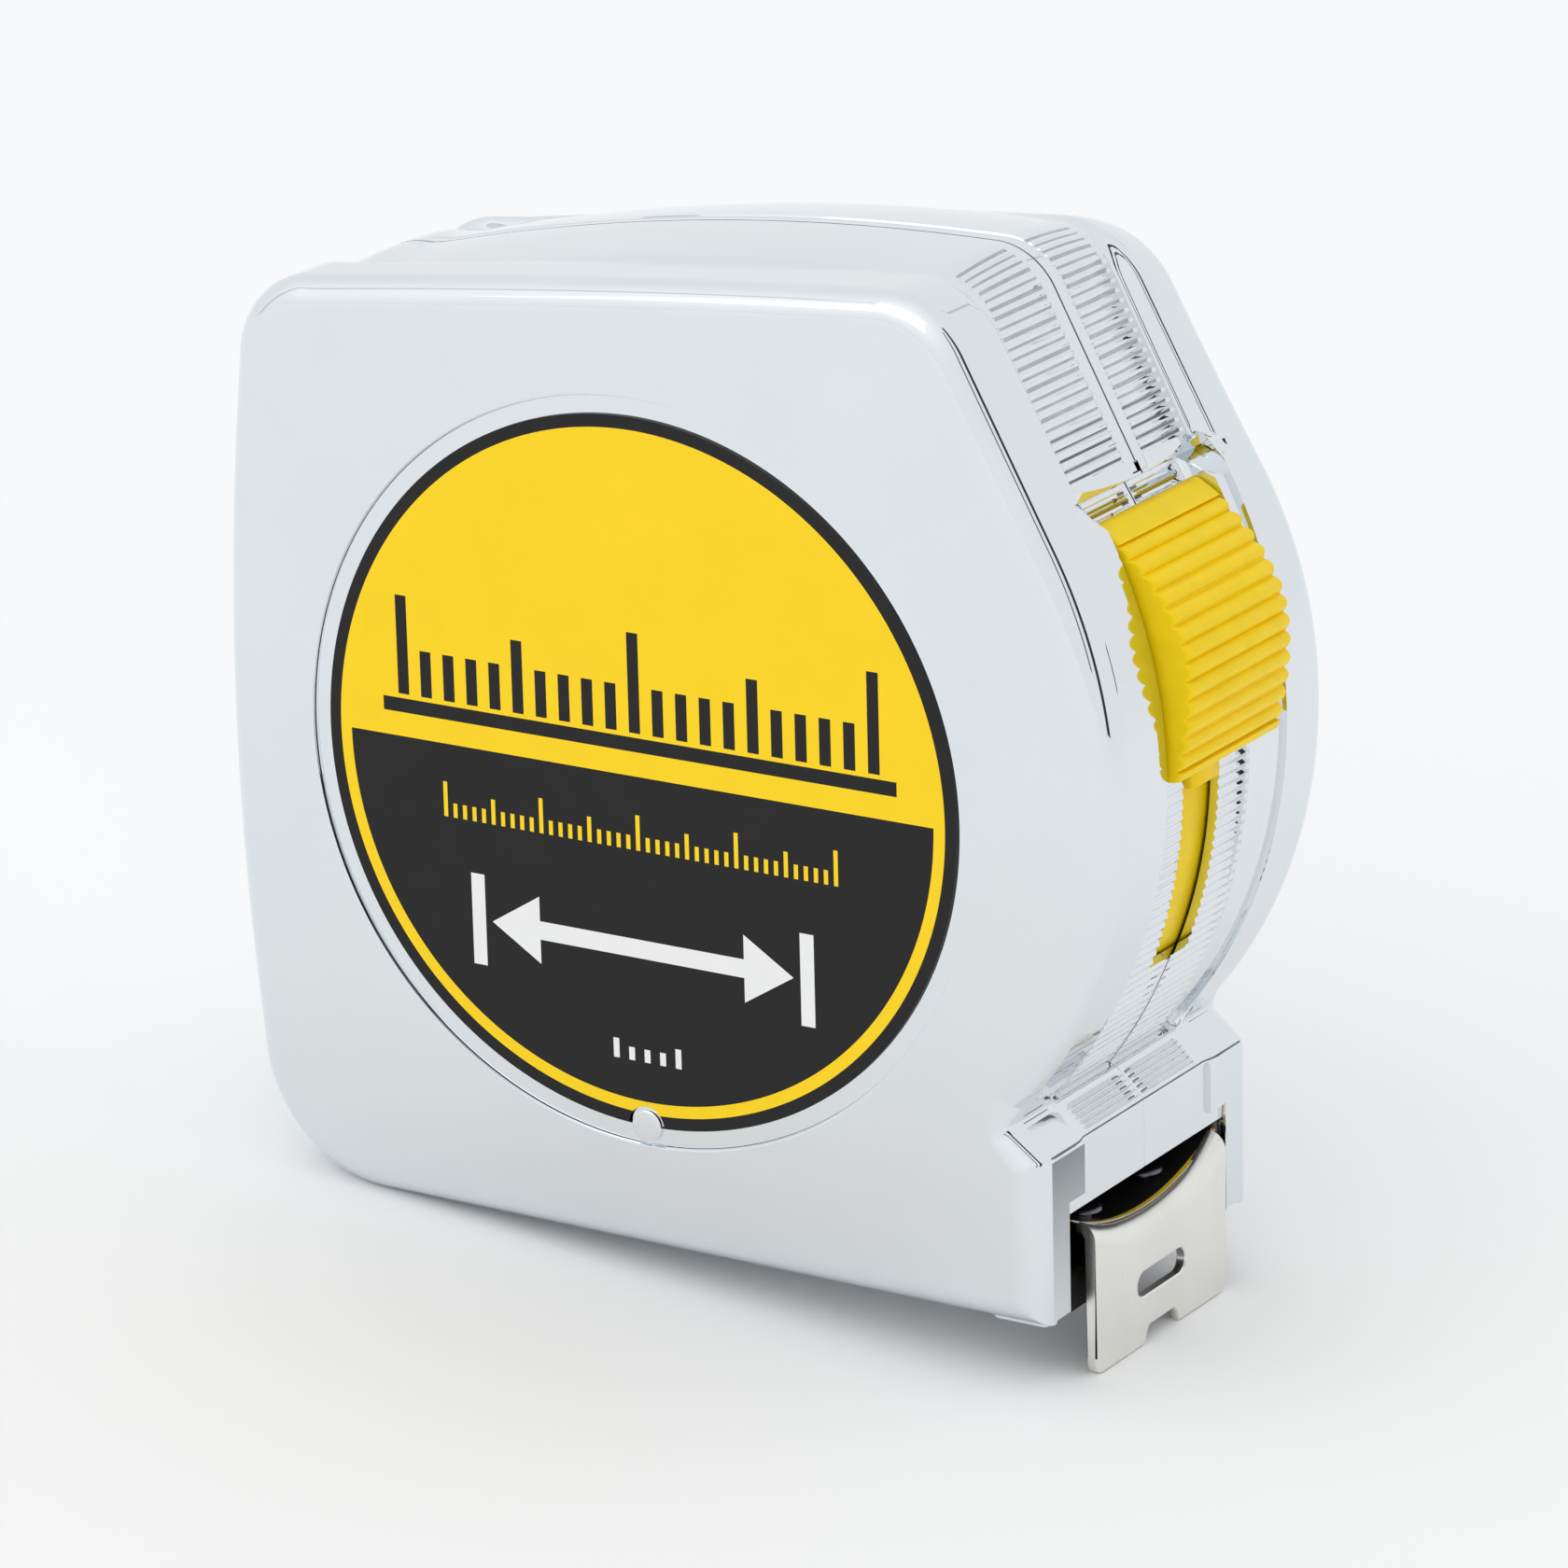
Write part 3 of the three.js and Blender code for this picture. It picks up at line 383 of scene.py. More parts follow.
def creases(y0, y1):
    """Material numbers on the strip between two distances from the parting line: grooves are darker, painted
    shade standing in for the shade in them.
    """
    out = np.zeros(TOTAL, int)
    # painted shade: the parting line's groove is drawn dark
    if y1 < 0.13:
        out[START["bow"]:START["rear_low"]] = CREASE_SHADE
    if SEAM < y0 and y1 < 9.35:
        out[NOSE_RIBS > 0.17] = CREASE_SHADE
    if SEAM < y0 and y1 < CHANNEL_HALF:
        out[FLOOR_RIBS > 0.186] = CREASE_SHADE
    # lighter painted shade in the top ribs' grooves, darker painted shade in the deepest grooves near the lip
    if 1.6 < y0 and y1 < RAIL_Y:
        out[TOP_RIBS > 0.8 * TOP_RIB_DEPTH * TOP_FADE] = GROOVE_SHADE
        near_lip = START["slant"] + int(0.27 * N["slant"])
        out[:near_lip][TOP_RIBS[:near_lip] > 0.93 * TOP_RIB_DEPTH] = CREASE_SHADE
        out[TOP_RIBS <= 0.05] = 0
    # painted shade: a dark line along the nose's rounded edge
    if y1 < 16.5:
        out[START["facet"] + 3:START["facet"] + 6] = CREASE_SHADE
    return out


def band_station(y):
    """Outline of the band at a distance y from the parting line."""
    pts = FLOOR.copy()
    bow = region("bow")
    if y > CHANNEL_HALF:
        rise = np.clip((y - CHANNEL_HALF) / 0.85, 0, 1) ** 1.6
        pts[bow] = FLOOR[bow] * (1 - rise) + RAIL[bow] * rise
    depth = CROWN * 0.8 * (y / 10.0) ** 2
    if 1.62 < y < RIB_END:
        depth = depth + TOP_RIBS * min(1.0, (RIB_END - y) / 0.7)
    if SEAM < y < 8.2:
        depth = depth + FLOOR_RIBS
    if SEAM < y < RAIL_Y:
        depth = depth + NOSE_RIBS
    if y < 1.58:
        depth = depth + STRIP * 0.16
    if y < 0.1:
        depth = depth + 0.1
    out = pts + FLOOR_IN * depth[:, None]
    t = np.clip((y - 10.2) / 1.8, 0, 1)
    blend = (t * t * (3 - 2 * t) * SOFT_STEP)[:, None]
    return out * (1 - blend) + CHEEK_EDGE * blend


# ---------- case halves ----------
BAND_Y = [0.05, 0.12, 0.2, 0.55, 1.0, 1.55, 1.65, 2.4, 3.0, SLOT, 3.25, 4.6, 6.4, 7.6, 8.1, 8.25, 8.3, 8.4,
          8.5, 8.6, 8.7, 8.8, 8.9, 9.0, 9.08, 9.15, 9.3, 9.45, 9.9, 10.05, 10.3, 10.5, 10.6, 10.8, 10.98]
CHEEK_Y = [11.02, 11.2, 11.4, 11.7, 12.0, 12.6, 13.5, MOUTH_HALF, 13.7, 15.2, 16.0]


def circle(c, r, n=96):
    t = np.linspace(0, 2 * np.pi, n, endpoint=False)
    return np.stack([c[0] + r * np.cos(t), c[1] + r * np.sin(t)], 1)


def inside(points, poly):
    """Which points lie in the polygon."""
    x, y = points[:, 0][:, None], points[:, 1][:, None]
    x1, y1 = poly[:, 0][None], poly[:, 1][None]
    x2, y2 = np.roll(poly[:, 0], -1)[None], np.roll(poly[:, 1], -1)[None]
    level = np.where(y2 == y1, 1e-12, y2 - y1)
    crosses = ((y1 > y) != (y2 > y)) & (x < (x2 - x1) * (y - y1) / level + x1)
    return crosses.sum(1) % 2 == 1


def triangulate(loops, extra=()):
    """Triangles of a plane cut along every loop; returns points, triangles and centroids."""
    pts, edges = [], []
    for loop in loops:
        n0 = len(pts)
        pts += [Vector((float(a), float(b))) for a, b in loop]
        edges += [(n0 + i, n0 + (i + 1) % len(loop)) for i in range(len(loop))]
    for a, b in extra:
        n0 = len(pts)
        pts += [Vector(a), Vector(b)]
        edges.append((n0, n0 + 1))
    out = delaunay_2d_cdt(pts, edges, [], 0, 1e-5)
    v = np.array([tuple(p) for p in out[0]])
    f = np.array([list(t) for t in out[2]])
    return v, f, v[f].mean(1)


def plate(outer, holes=()):
    """Triangles of the area inside one loop and outside every hole."""
    v, f, c = triangulate([outer, *holes])
    ok = inside(c, outer)
    for hole in holes:
        ok &= ~inside(c, hole)
    return v, f[ok]


def wound(v, f, positive):
    """The triangles as lists, all turned the same way."""
    a, b, c = (v[f[:, k]] for k in range(3))
    area = (b[:, 0] - a[:, 0]) * (c[:, 1] - a[:, 1]) - (b[:, 1] - a[:, 1]) * (c[:, 0] - a[:, 0])
    return [list(t) if (ar > 0) == positive else list(t)[::-1] for t, ar in zip(f, area)]


def at_y(pts, y):
    """Points drawn in X and Z, placed at a distance y from the parting line."""
    return np.stack([pts[:, 0], np.full(len(pts), y), pts[:, 1]], 1)


def flat_y(shape, v, f, y, towards, mat=0):
    """Adds triangles drawn in X and Z at a distance y, facing towards +Y (1) or -Y (-1)."""
    shape.add(at_y(v, y), wound(v, f, towards < 0), mat, False)


def rings(shape, centre, profile, y, n, flip):
    """Turns pairs of radius and depth about a line along Y."""
    shape.grid(np.array([at_y(circle(centre, r, n), y + d) for r, d in profile]), wrap=True, flip=flip)


def case_half(side):
    """One half of the case: side is -1 for the label side and 1 for the clip side."""
    shape = Shape()
    rows = [at_y(band_station(BAND_Y[0]) + FLOOR_IN * 1.1, side * BAND_Y[0])]
    rows += [at_y(band_station(y), side * y) for y in BAND_Y]
    ys = [0.0] + BAND_Y
    soft = SOFT_STEP[:, None]
    for y in CHEEK_Y:
        cheek = cheek_outline(0, True, NOSE_X if y <= MOUTH_HALF else None)
        rows.append(at_y(cheek * (1 - soft) + band_station(y) * soft if y < 12.1 else cheek, side * y))
        ys.append(y)
    for t in np.radians(np.linspace(0, 90, 13)):
        y = HALF - FACE_ROUND + FACE_ROUND * math.sin(t)
        rows.append(at_y(cheek_outline(FACE_ROUND * (1 - math.cos(t))), side * y))
        ys.append(y)
    if side > 0:
        for i, y in enumerate(ys):
            if i and y > BAND - 5:
                rows[i][:, [0, 2]] = lowered(rows[i][:, [0, 2]], y)
    p = np.array(rows)
    keep = np.ones((len(rows) - 1, TOTAL), bool)
    mouth_start = BASE_X.index(MOUTH_REAR)
    mouth_end = START["front"] + 8
    angles = np.linspace(CHANNEL_LOW, CHANNEL_HIGH, N["bow"] + 1)
    s0, s1 = (START["bow"] + int(np.argmin(abs(angles - a))) for a in (SLOT_LOW, SLOT_HIGH))
    mats = np.zeros(keep.shape, int)
    for i in range(len(rows) - 1):
        if ys[i + 1] <= MOUTH_HALF:
            keep[i, mouth_start:mouth_end] = False
        if ys[i + 1] <= SLOT:
            keep[i, s0:s1] = False
        if i:
            mats[i] = creases(ys[i], ys[i + 1])
        # painted shade: the label side's front strip takes the nose chrome that is graded darker upwards by
        # height
        if side < 0 and MOUTH_HALF <= ys[i] < 16.2:
            mats[i, START["front"]:START["facet"] - 1] = NOSE_SHADE
        if side < 0 and BAND < ys[i] < MOUTH_HALF:
            mats[i, START["front"] + 12:START["facet"] - 1] = NOSE_SHADE
    shape.grid(p, keep=keep, wrap=True, flip=side > 0, mat=mats)
    # mouth: side wall and roof, as deep as the case's front wall
    row, k = ys.index(MOUTH_HALF), ys.index(SLOT)
    for loop, flip in ((p[row, mouth_start:mouth_end + 1], side < 0), (p[1:row + 1, mouth_end], side > 0)):
        back = loop.copy()
        back[:, 0] = MOUTH_REAR
        back[:, 2] = np.clip(back[:, 2], 0.0, None)
        shape.grid(np.array([loop, back]), flip=flip)
    # slot: long wall and two ends
    a = np.radians(angles[s0 - START["bow"]:s1 - START["bow"] + 1])
    depth_r = CHANNEL_R - CHANNEL_WALL
    for loop, turn, flip in ((p[k, s0:s1 + 1], a, side > 0), (p[1:k + 1, s0], a[0], side < 0),
                             (p[1:k + 1, s1], a[-1], side > 0)):
        inner = loop.copy()
        inner[:, 0] = CHANNEL[0] + depth_r * np.cos(turn)
        inner[:, 2] = CHANNEL[1] + depth_r * np.sin(turn)
        shape.grid(np.array([loop, inner]), flip=flip)
    # side face
    rim = cheek_outline(FACE_ROUND)
    if side > 0:
        rim = lowered(rim, HALF)
    rim = rim[np.r_[True, np.linalg.norm(np.diff(rim, axis=0), axis=1) > 0.01]]
    if side > 0:
        v, f = plate(rim, [circle(s, WELL_R, 36) for s in SCREWS])
        flat_y(shape, v, f, HALF, 1)
        for s in SCREWS:
            rings(shape, s, [(WELL_R, 0), (2.7, -0.06), (2.7, -WELL_DEPTH), (1.35, -WELL_DEPTH), (1.35, -4.0)],
                  HALF, 36, True)
        return shape
    # the label's shallow recess, with a round boss that the label is notched for
    v, f = plate(rim, [circle(REEL, RECESS_R + 0.12, 160)])
    flat_y(shape, v, f, -HALF, -1)
    rings(shape, REEL, [(RECESS_R + 0.12, 0), (RECESS_R + 0.03, 0.03), (RECESS_R, 0.12),
                        (RECESS_R - 0.05, RECESS - 0.08), (RECESS_R - 0.13, RECESS)], -HALF, 160, False)
    boss = (REEL[0], REEL[1] - LABEL_R)
    v, f = plate(circle(REEL, RECESS_R - 0.13, 160), [circle(boss, BOSS_R, 40)])
    flat_y(shape, v, f, -HALF + RECESS, -1)
    rings(shape, boss, [(BOSS_R, RECESS), (1.48, 0.12), (1.36, 0.02), (1.2, 0.0)], -HALF, 40, False)
    shape.add(at_y(circle(boss, 1.2, 40), -HALF), [list(range(40))])
    return shape


# ---------- materials ----------
def preset(n, **values):
    """Sets a node's inputs by their names, with _ for a space."""
    for key, value in values.items():
        n.inputs[key.replace("_", " ")].default_value = value


def node(tree, kind, **values):
    n = tree.nodes.new("ShaderNode" + kind)
    preset(n, **values)
    return n


def material(name, color, metallic, rough, spread, scale, bump, bump_scale, stretch=(1, 1, 1), tint=0.0,
             coat=0.0, spec=0.5, distance=0.00003):
    """Principled surface whose roughness, colour and relief vary with procedural noise in object space."""
    m = bpy.data.materials.new(name)
    m.use_nodes = True
    nt = m.node_tree
    link = nt.links.new
    b = nt.nodes["Principled BSDF"]
    preset(b, Base_Color=(*color, 1), Metallic=metallic, Roughness=rough, Coat_Weight=coat,
           Coat_Roughness=0.12, Specular_IOR_Level=spec)
    tc = node(nt, "TexCoord")
    mp = node(nt, "Mapping", Scale=stretch)
    link(tc.outputs["Object"], mp.inputs["Vector"])

    def noise(s, detail=3.0):
        n = node(nt, "TexNoise", Scale=s, Detail=detail)
        link(mp.outputs["Vector"], n.inputs["Vector"])
        return n.outputs["Fac"]

    rr = node(nt, "MapRange", From_Min=0.3, From_Max=0.7, To_Min=max(rough - spread, 0.0),
              To_Max=min(rough + spread, 1.0))
    link(noise(scale), rr.inputs["Value"])
    link(rr.outputs["Result"], b.inputs["Roughness"])
    if tint:
        ramp = node(nt, "ValToRGB")
        for stop, position, factor in zip(ramp.color_ramp.elements, (0.3, 0.7), (1 - tint, 1 + tint)):
            stop.position = position
            stop.color = (*[min(c * factor, 1) for c in color], 1)
        link(noise(scale * 1.7), ramp.inputs["Fac"])
        link(ramp.outputs["Color"], b.inputs["Base Color"])
    bp = node(nt, "Bump", Strength=bump, Distance=distance)
    link(noise(bump_scale, 4.0), bp.inputs["Height"])
    link(bp.outputs["Normal"], b.inputs["Normal"])
    return m


chrome = material("chrome_plate", (0.77, 0.80, 0.825), 1.0, 0.045, 0.02, 45, 0.35, 90, tint=0.01,
                  distance=0.00002)
# painted shade: dark and mid-grey chrome for the creases and rib grooves, in place of the shade in them
chrome_crease = material("chrome_crease", (0.17, 0.18, 0.20), 1.0, 0.3, 0.1, 300, 0.2, 900, tint=0.25)
chrome_groove = material("chrome_groove", (0.46, 0.48, 0.505), 1.0, 0.16, 0.05, 300, 0.2, 900, tint=0.1)
chrome_nose = material("chrome_nose", (0.6, 0.62, 0.64), 1.0, 0.14, 0.03, 60, 0.2, 300)
# painted shade and reflection: the label side's nose is graded from light at the base to dark at the top, by
# height, in place of what the chrome reflects there
fade = chrome_nose.node_tree
height = node(fade, "SeparateXYZ")
shade = node(fade, "ValToRGB")
level_z = node(fade, "Math")
level_z.operation = "MULTIPLY"
level_z.inputs[1].default_value = 1 / 0.016
greys = ((0.72, 0.75, 0.77, 1), (0.27, 0.285, 0.3, 1))
for stop, position, grey in zip(shade.color_ramp.elements, (0.05, 0.92), greys):
    stop.position, stop.color = position, grey
coords = next(n for n in fade.nodes if n.bl_idname == "ShaderNodeTexCoord")
fade.links.new(coords.outputs["Object"], height.inputs["Vector"])
fade.links.new(height.outputs["Z"], level_z.inputs[0])
fade.links.new(level_z.outputs[0], shade.inputs["Fac"])
fade.links.new(shade.outputs["Color"], fade.nodes["Principled BSDF"].inputs["Base Color"])
slider_yellow = material("slider_yellow", (0.95, 0.67, 0.002), 0.0, 0.42, 0.06, 300, 0.25, 2600,
                         tint=0.03, spec=0.22)
label_yellow = material("label_yellow", (0.985, 0.665, 0.018), 0.0, 0.34, 0.05, 120, 0.06, 1500,
                        tint=0.012, spec=0.12)
label_black = material("label_black", (0.021, 0.0205, 0.0205), 0.0, 0.36, 0.05, 120, 0.06, 1500,
                       tint=0.05, spec=0.12)
label_white = material("label_white", (0.86, 0.86, 0.85), 0.0, 0.36, 0.05, 120, 0.06, 1500,
                       tint=0.01, spec=0.12)
black_plastic = material("black_plastic", (0.008, 0.008, 0.009), 0.0, 0.3, 0.1, 250, 0.2, 1800, tint=0.2)
reel_plastic = material("reel_plastic", (0.02, 0.02, 0.022), 0.0, 0.45, 0.1, 200, 0.2, 1800, tint=0.1)
nickel = material("nickel", (0.82, 0.81, 0.775), 1.0, 0.3, 0.07, 90, 0.3, 1200, stretch=(1, 1, 0.12), tint=0.03,
                  distance=0.00002)
rivet_metal = material("rivet_metal", (0.16, 0.16, 0.19), 1.0, 0.34, 0.08, 300, 0.3, 2500, tint=0.05)
clip_steel = material("clip_steel", (0.70, 0.71, 0.72), 1.0, 0.24, 0.07, 60, 0.35, 900, stretch=(1, 1, 0.06),
                      tint=0.03)
zinc = material("zinc_plate", (0.60, 0.61, 0.62), 1.0, 0.32, 0.08, 260, 0.3, 2200, tint=0.06)
blade_paint = material("blade_paint", (0.86, 0.58, 0.02), 0.0, 0.3, 0.06, 150, 0.1, 1200, tint=0.02, coat=0.5)
blade_black = material("blade_black", (0.012, 0.012, 0.012), 0.0, 0.3, 0.05, 150, 0.05, 1200,
                       tint=0.1, coat=0.4)
blade_steel = material("blade_steel", (0.45, 0.45, 0.46), 1.0, 0.3, 0.08, 150, 0.1, 900, tint=0.05)
spring_steel = material("spring_steel", (0.3, 0.33, 0.4), 1.0, 0.28, 0.08, 120, 0.2, 900, tint=0.08)

for side, name, cad in ((-1, "case_half_label_side", "front_case_half"),
                        (1, "case_half_clip_side", "rear_case_half")):
    add_piece(case_half(side), name, [chrome, chrome_crease, chrome_nose, chrome_groove], "case", cad,
              40)


# ---------- label ----------
def rect(x0, x1, z0, z1):
    return np.array([(x0, z0), (x1, z0), (x1, z1), (x0, z1)], float)


def tick_row(x0, x1, n, z, heights, width):
    """A row of scale ticks standing on z; every fifth is tall and every tenth is tallest."""
    rows = []
    for i, x in enumerate(np.linspace(x0, x1, n)):
        h = heights[2] if i % 10 == 0 else heights[1] if i % 5 == 0 else heights[0]
        rows.append(rect(x - width / 2, x + width / 2, z, z + h))
    return rows


def label():
    shape = Shape()
    cx, cz = REEL
    outer = circle(REEL, LABEL_R, 200)
    notch = circle((cx, cz - LABEL_R), 1.8, 40)
    ring = circle(REEL, LABEL_RING, 200)
    field = circle(REEL, LABEL_FIELD, 200)
    dark = tick_row(cx - 24.0, cx + 24.0, 21, 47.6, (4.2, 6.6, 9.0), 1.15)
    dark.append(rect(cx - 26.2, cx + 26.2, 45.9, 47.2))
    gold = tick_row(cx - 20.0, cx + 20.0, 41, 37.0, (1.3, 2.3, 3.2), 0.42)
    z, shaft, tip, neck, barb = 28.0, 0.85, 15.5, 10.5, 3.1
    right_half = [(cx + neck, z + shaft), (cx + neck, z + barb), (cx + tip, z), (cx + neck, z - barb),
                  (cx + neck, z - shaft)]
    left_half = [(cx - neck, z - shaft), (cx - neck, z - barb)]
    white = [
        np.array([(cx - tip, z), (cx - neck, z + barb), (cx - neck, z + shaft), *right_half, *left_half]),
        rect(cx - 17.6, cx - 16.2, z - 4.2, z + 4.2),
        rect(cx + 16.2, cx + 17.6, z - 4.2, z + 4.2),
    ]
    small = [rect(cx - 3.2 + 1.6 * i, cx - 2.6 + 1.6 * i, 17.6, 18.8 if i % 4 else 19.4) for i in range(5)]
    loops = [outer, notch, ring, field] + dark + gold + white + small
    v, f, c = triangulate(loops, extra=[((cx - 33, cz), (cx + 33, cz))])
    ok = inside(c, outer) & ~inside(c, notch)
    f, c = f[ok], c[ok]
    r = np.hypot(c[:, 0] - cx, c[:, 1] - cz)
    colour = np.ones(len(f), int)
    colour[r > LABEL_RING * 0.9995] = 0
    colour[(r < LABEL_FIELD) & (c[:, 1] < cz)] = 0
    for group, value in ((dark, 0), (gold, 1), (white, 2), (small, 2)):
        for loop in group:
            colour[inside(c, loop)] = value
    for m in range(3):
        flat_y(shape, v, f[colour == m], LABEL_Y, -1, m)
    shape.grid(np.array([at_y(outer, y) for y in (LABEL_Y, LABEL_Y + 0.25)]), wrap=True)
    return shape


add_piece(label(), "label_print", [label_black, label_yellow, label_white], "case", "label_disc", 30)


# ---------- lock slider ----------
def pad_crest(a):
    """Radius of the thumb pad's ridge tops at an angle about the channel's centre."""
    peak, top_r, peak_r, low_r = 16.5, 46.7, 51.05, 48.3
    if a > peak:
        t = (a - peak) / (PAD_HIGH - peak)
        return peak_r + (top_r - peak_r) * (0.35 * t + 0.65 * t * t) if t < 1 else top_r
    t = (peak - a) / (peak - PAD_LOW)
    return peak_r + (low_r - peak_r) * t * t * (1.6 - 0.6 * t)


def on_channel(r, a, y):
    """A point at a radius and an angle about the channel's centre."""
    a = math.radians(a)
    return CHANNEL[0] + r * math.cos(a), y, CHANNEL[1] + r * math.sin(a)


def slider():
    shape = Shape()
    first, last, ridges, ridge_depth = 3.4, 27.3, 13, 0.62
    low_round, high_round = 0.5, 0.55
    prof = []
    for a in np.linspace(PAD_LOW, PAD_HIGH, 260):
        r = pad_crest(a)
        if first < a < last:
            t = (a - first) / (last - first) * ridges
            r -= ridge_depth * (1 - abs(math.sin(math.pi * t)) ** 0.75)
        if a < PAD_LOW + low_round:
            r -= 0.35 * (1 - math.sqrt(max(0, 1 - ((PAD_LOW + low_round - a) / low_round) ** 2)))
        if a > PAD_HIGH - high_round:
            r -= 0.45 * (1 - math.sqrt(max(0, 1 - ((a - PAD_HIGH + high_round) / high_round) ** 2)))
        prof.append((r, a))
    floor_r = CHANNEL_R + 0.35
    half, rnd = 8.65, 0.4
    rows = [(-half, rnd)]
    for t in np.radians((15, 30, 45, 60, 75, 90)):
        rows.append((-half + rnd * (1 - math.cos(t)), rnd * (1 - math.sin(t))))
    rows += [(-y, i) for y, i in rows[::-1]]
    p = []
    for y, inset in rows:
        crest = [(max(r - inset, floor_r + 0.2), a) for r, a in prof]
        p.append([on_channel(r, a, y) for r, a in [(floor_r, PAD_LOW), *crest, (floor_r, PAD_HIGH)]])
    p = np.array(p)
    shape.grid(p, wrap=True)
    for row in (p[0], p[-1]):
        v, f = plate(row[:, [0, 2]])
        flat_y(shape, v, f, row[0][1], -1 if row[0][1] < 0 else 1)

    def strip(r0, r1, a0, a1, half_y, n):
        section = octagon(r0, r1, half_y, -half_y, 0.25)
        section = section[1:] + section[:1]
        bar(shape, [[on_channel(r, a, y) for r, y in section] for a in np.linspace(a0, a1, n)], False, True)

    strip(42.7, 45.95, -0.8, 20.0, 2.45, 30)    # stem
    strip(42.6, 44.3, -43.5, 20.0, 4.0, 120)    # brake arm
    strip(42.6, 44.3, -6.0, 25.0, 6.4, 60)      # guide behind the slot
    return shape


add_piece(slider(), "lock_slider_moulding", [slider_yellow], "lock", "lock_slider", 50)

# ---------- blade, print and hook ----------
BLADE_R, BLADE_Z, BLADE_T = 29.0, 5.2, 0.14
BLADE_HALF, BLADE_REAR, REAR_TOP_Z = 12.5, 1.5, 7.3
INK = 0.012     # the print's height above the blade


def rise(y):
    return BLADE_R - np.sqrt(BLADE_R ** 2 - np.asarray(y, float) ** 2)


def blade_surface(x, y, above=0.0):
    """A point on the blade: hollow in front, flattening and rising to the coil behind."""
    t = np.clip((x - BLADE_REAR) / 12.0, 0, 1)
    t = t * t * (3 - 2 * t)
    return (REAR_TOP_Z - BLADE_T) * (1 - t) + BLADE_Z * t + rise(y) * t + above


def blade():
    shape = Shape()
    ys = np.linspace(-BLADE_HALF, BLADE_HALF, 41)
    xs = np.concatenate([np.linspace(BLADE_REAR, 14, 26), np.linspace(15, 40.3, 24), [BLADE_END]])
    top = np.array([[(x, y, blade_surface(x, y, BLADE_T)) for y in ys] for x in xs])
    low = np.array([[(x, y, blade_surface(x, y)) for y in ys] for x in xs])
    tip = int(np.argmin(abs(xs - 24.0)))
    shape.grid(top[:tip + 1], flip=True)
    shape.grid(top[tip:-1], mat=2, flip=True)
    shape.grid(top[-2:], flip=True)
    shape.grid(low)
    shape.grid(np.array([top[-1], low[-1]]), mat=1, flip=True)
    shape.grid(np.array([top[0], low[0]]), mat=1)
    shape.grid(np.array([top[:, 0], low[:, 0]]))
    shape.grid(np.array([top[:, -1], low[:, -1]]), flip=True)
    return shape


def blade_print():
    """Millimetre and centimetre marks along both edges, zero at the hook's face."""
    shape = Shape()
    margin = 0.05
    for mm in range(18, 40):
        x = HOOK_BACK - mm
        if x < 2:
            break
        length = 5.2 if mm % 10 == 0 else 3.6 if mm % 5 == 0 else 2.4
        wide = 0.16 if mm % 10 else 0.22
        for s in (-1, 1):
            y = np.linspace(BLADE_HALF - margin, BLADE_HALF - margin - length, 6) * s
            a = [(x - wide / 2, v, blade_surface(x, v, BLADE_T + INK)) for v in y]
            b = [(x + wide / 2, v, blade_surface(x, v, BLADE_T + INK)) for v in y]
            shape.grid(np.array([a, b]), flip=s > 0)
    for cm in (2, 3):
        cu = bpy.data.curves.new("digit", "FONT")
        cu.body = str(cm)
        cu.size = 6.2
        cu.align_x = "CENTER"
        cu.align_y = "CENTER"
        tmp = bpy.data.objects.new("digit", cu)
        scene.collection.objects.link(tmp)
        bpy.context.view_layer.update()
        me = tmp.to_mesh()
        v = np.array([tuple(p.co) for p in me.vertices])
        faces = [list(p.vertices) for p in me.polygons]
        tmp.to_mesh_clear()
        bpy.data.objects.remove(tmp)
        # read from the hook's side, so that the digits' heads point to the blade's far edge
        x = HOOK_BACK - 10 * cm + 3.1
        pts = [(x + px, py - 0.5, blade_surface(x + px, py - 0.5, BLADE_T + INK)) for px, py, _ in v]
        shape.add(pts, faces, 0, False)
    return shape


add_piece(blade(), "blade_strip", [blade_paint, blade_steel, blade_black], "blade", "blade_lead",
          60, 0.0005)
blade_print().build("blade_marks", [blade_black], "blade", 60, 0.0001)


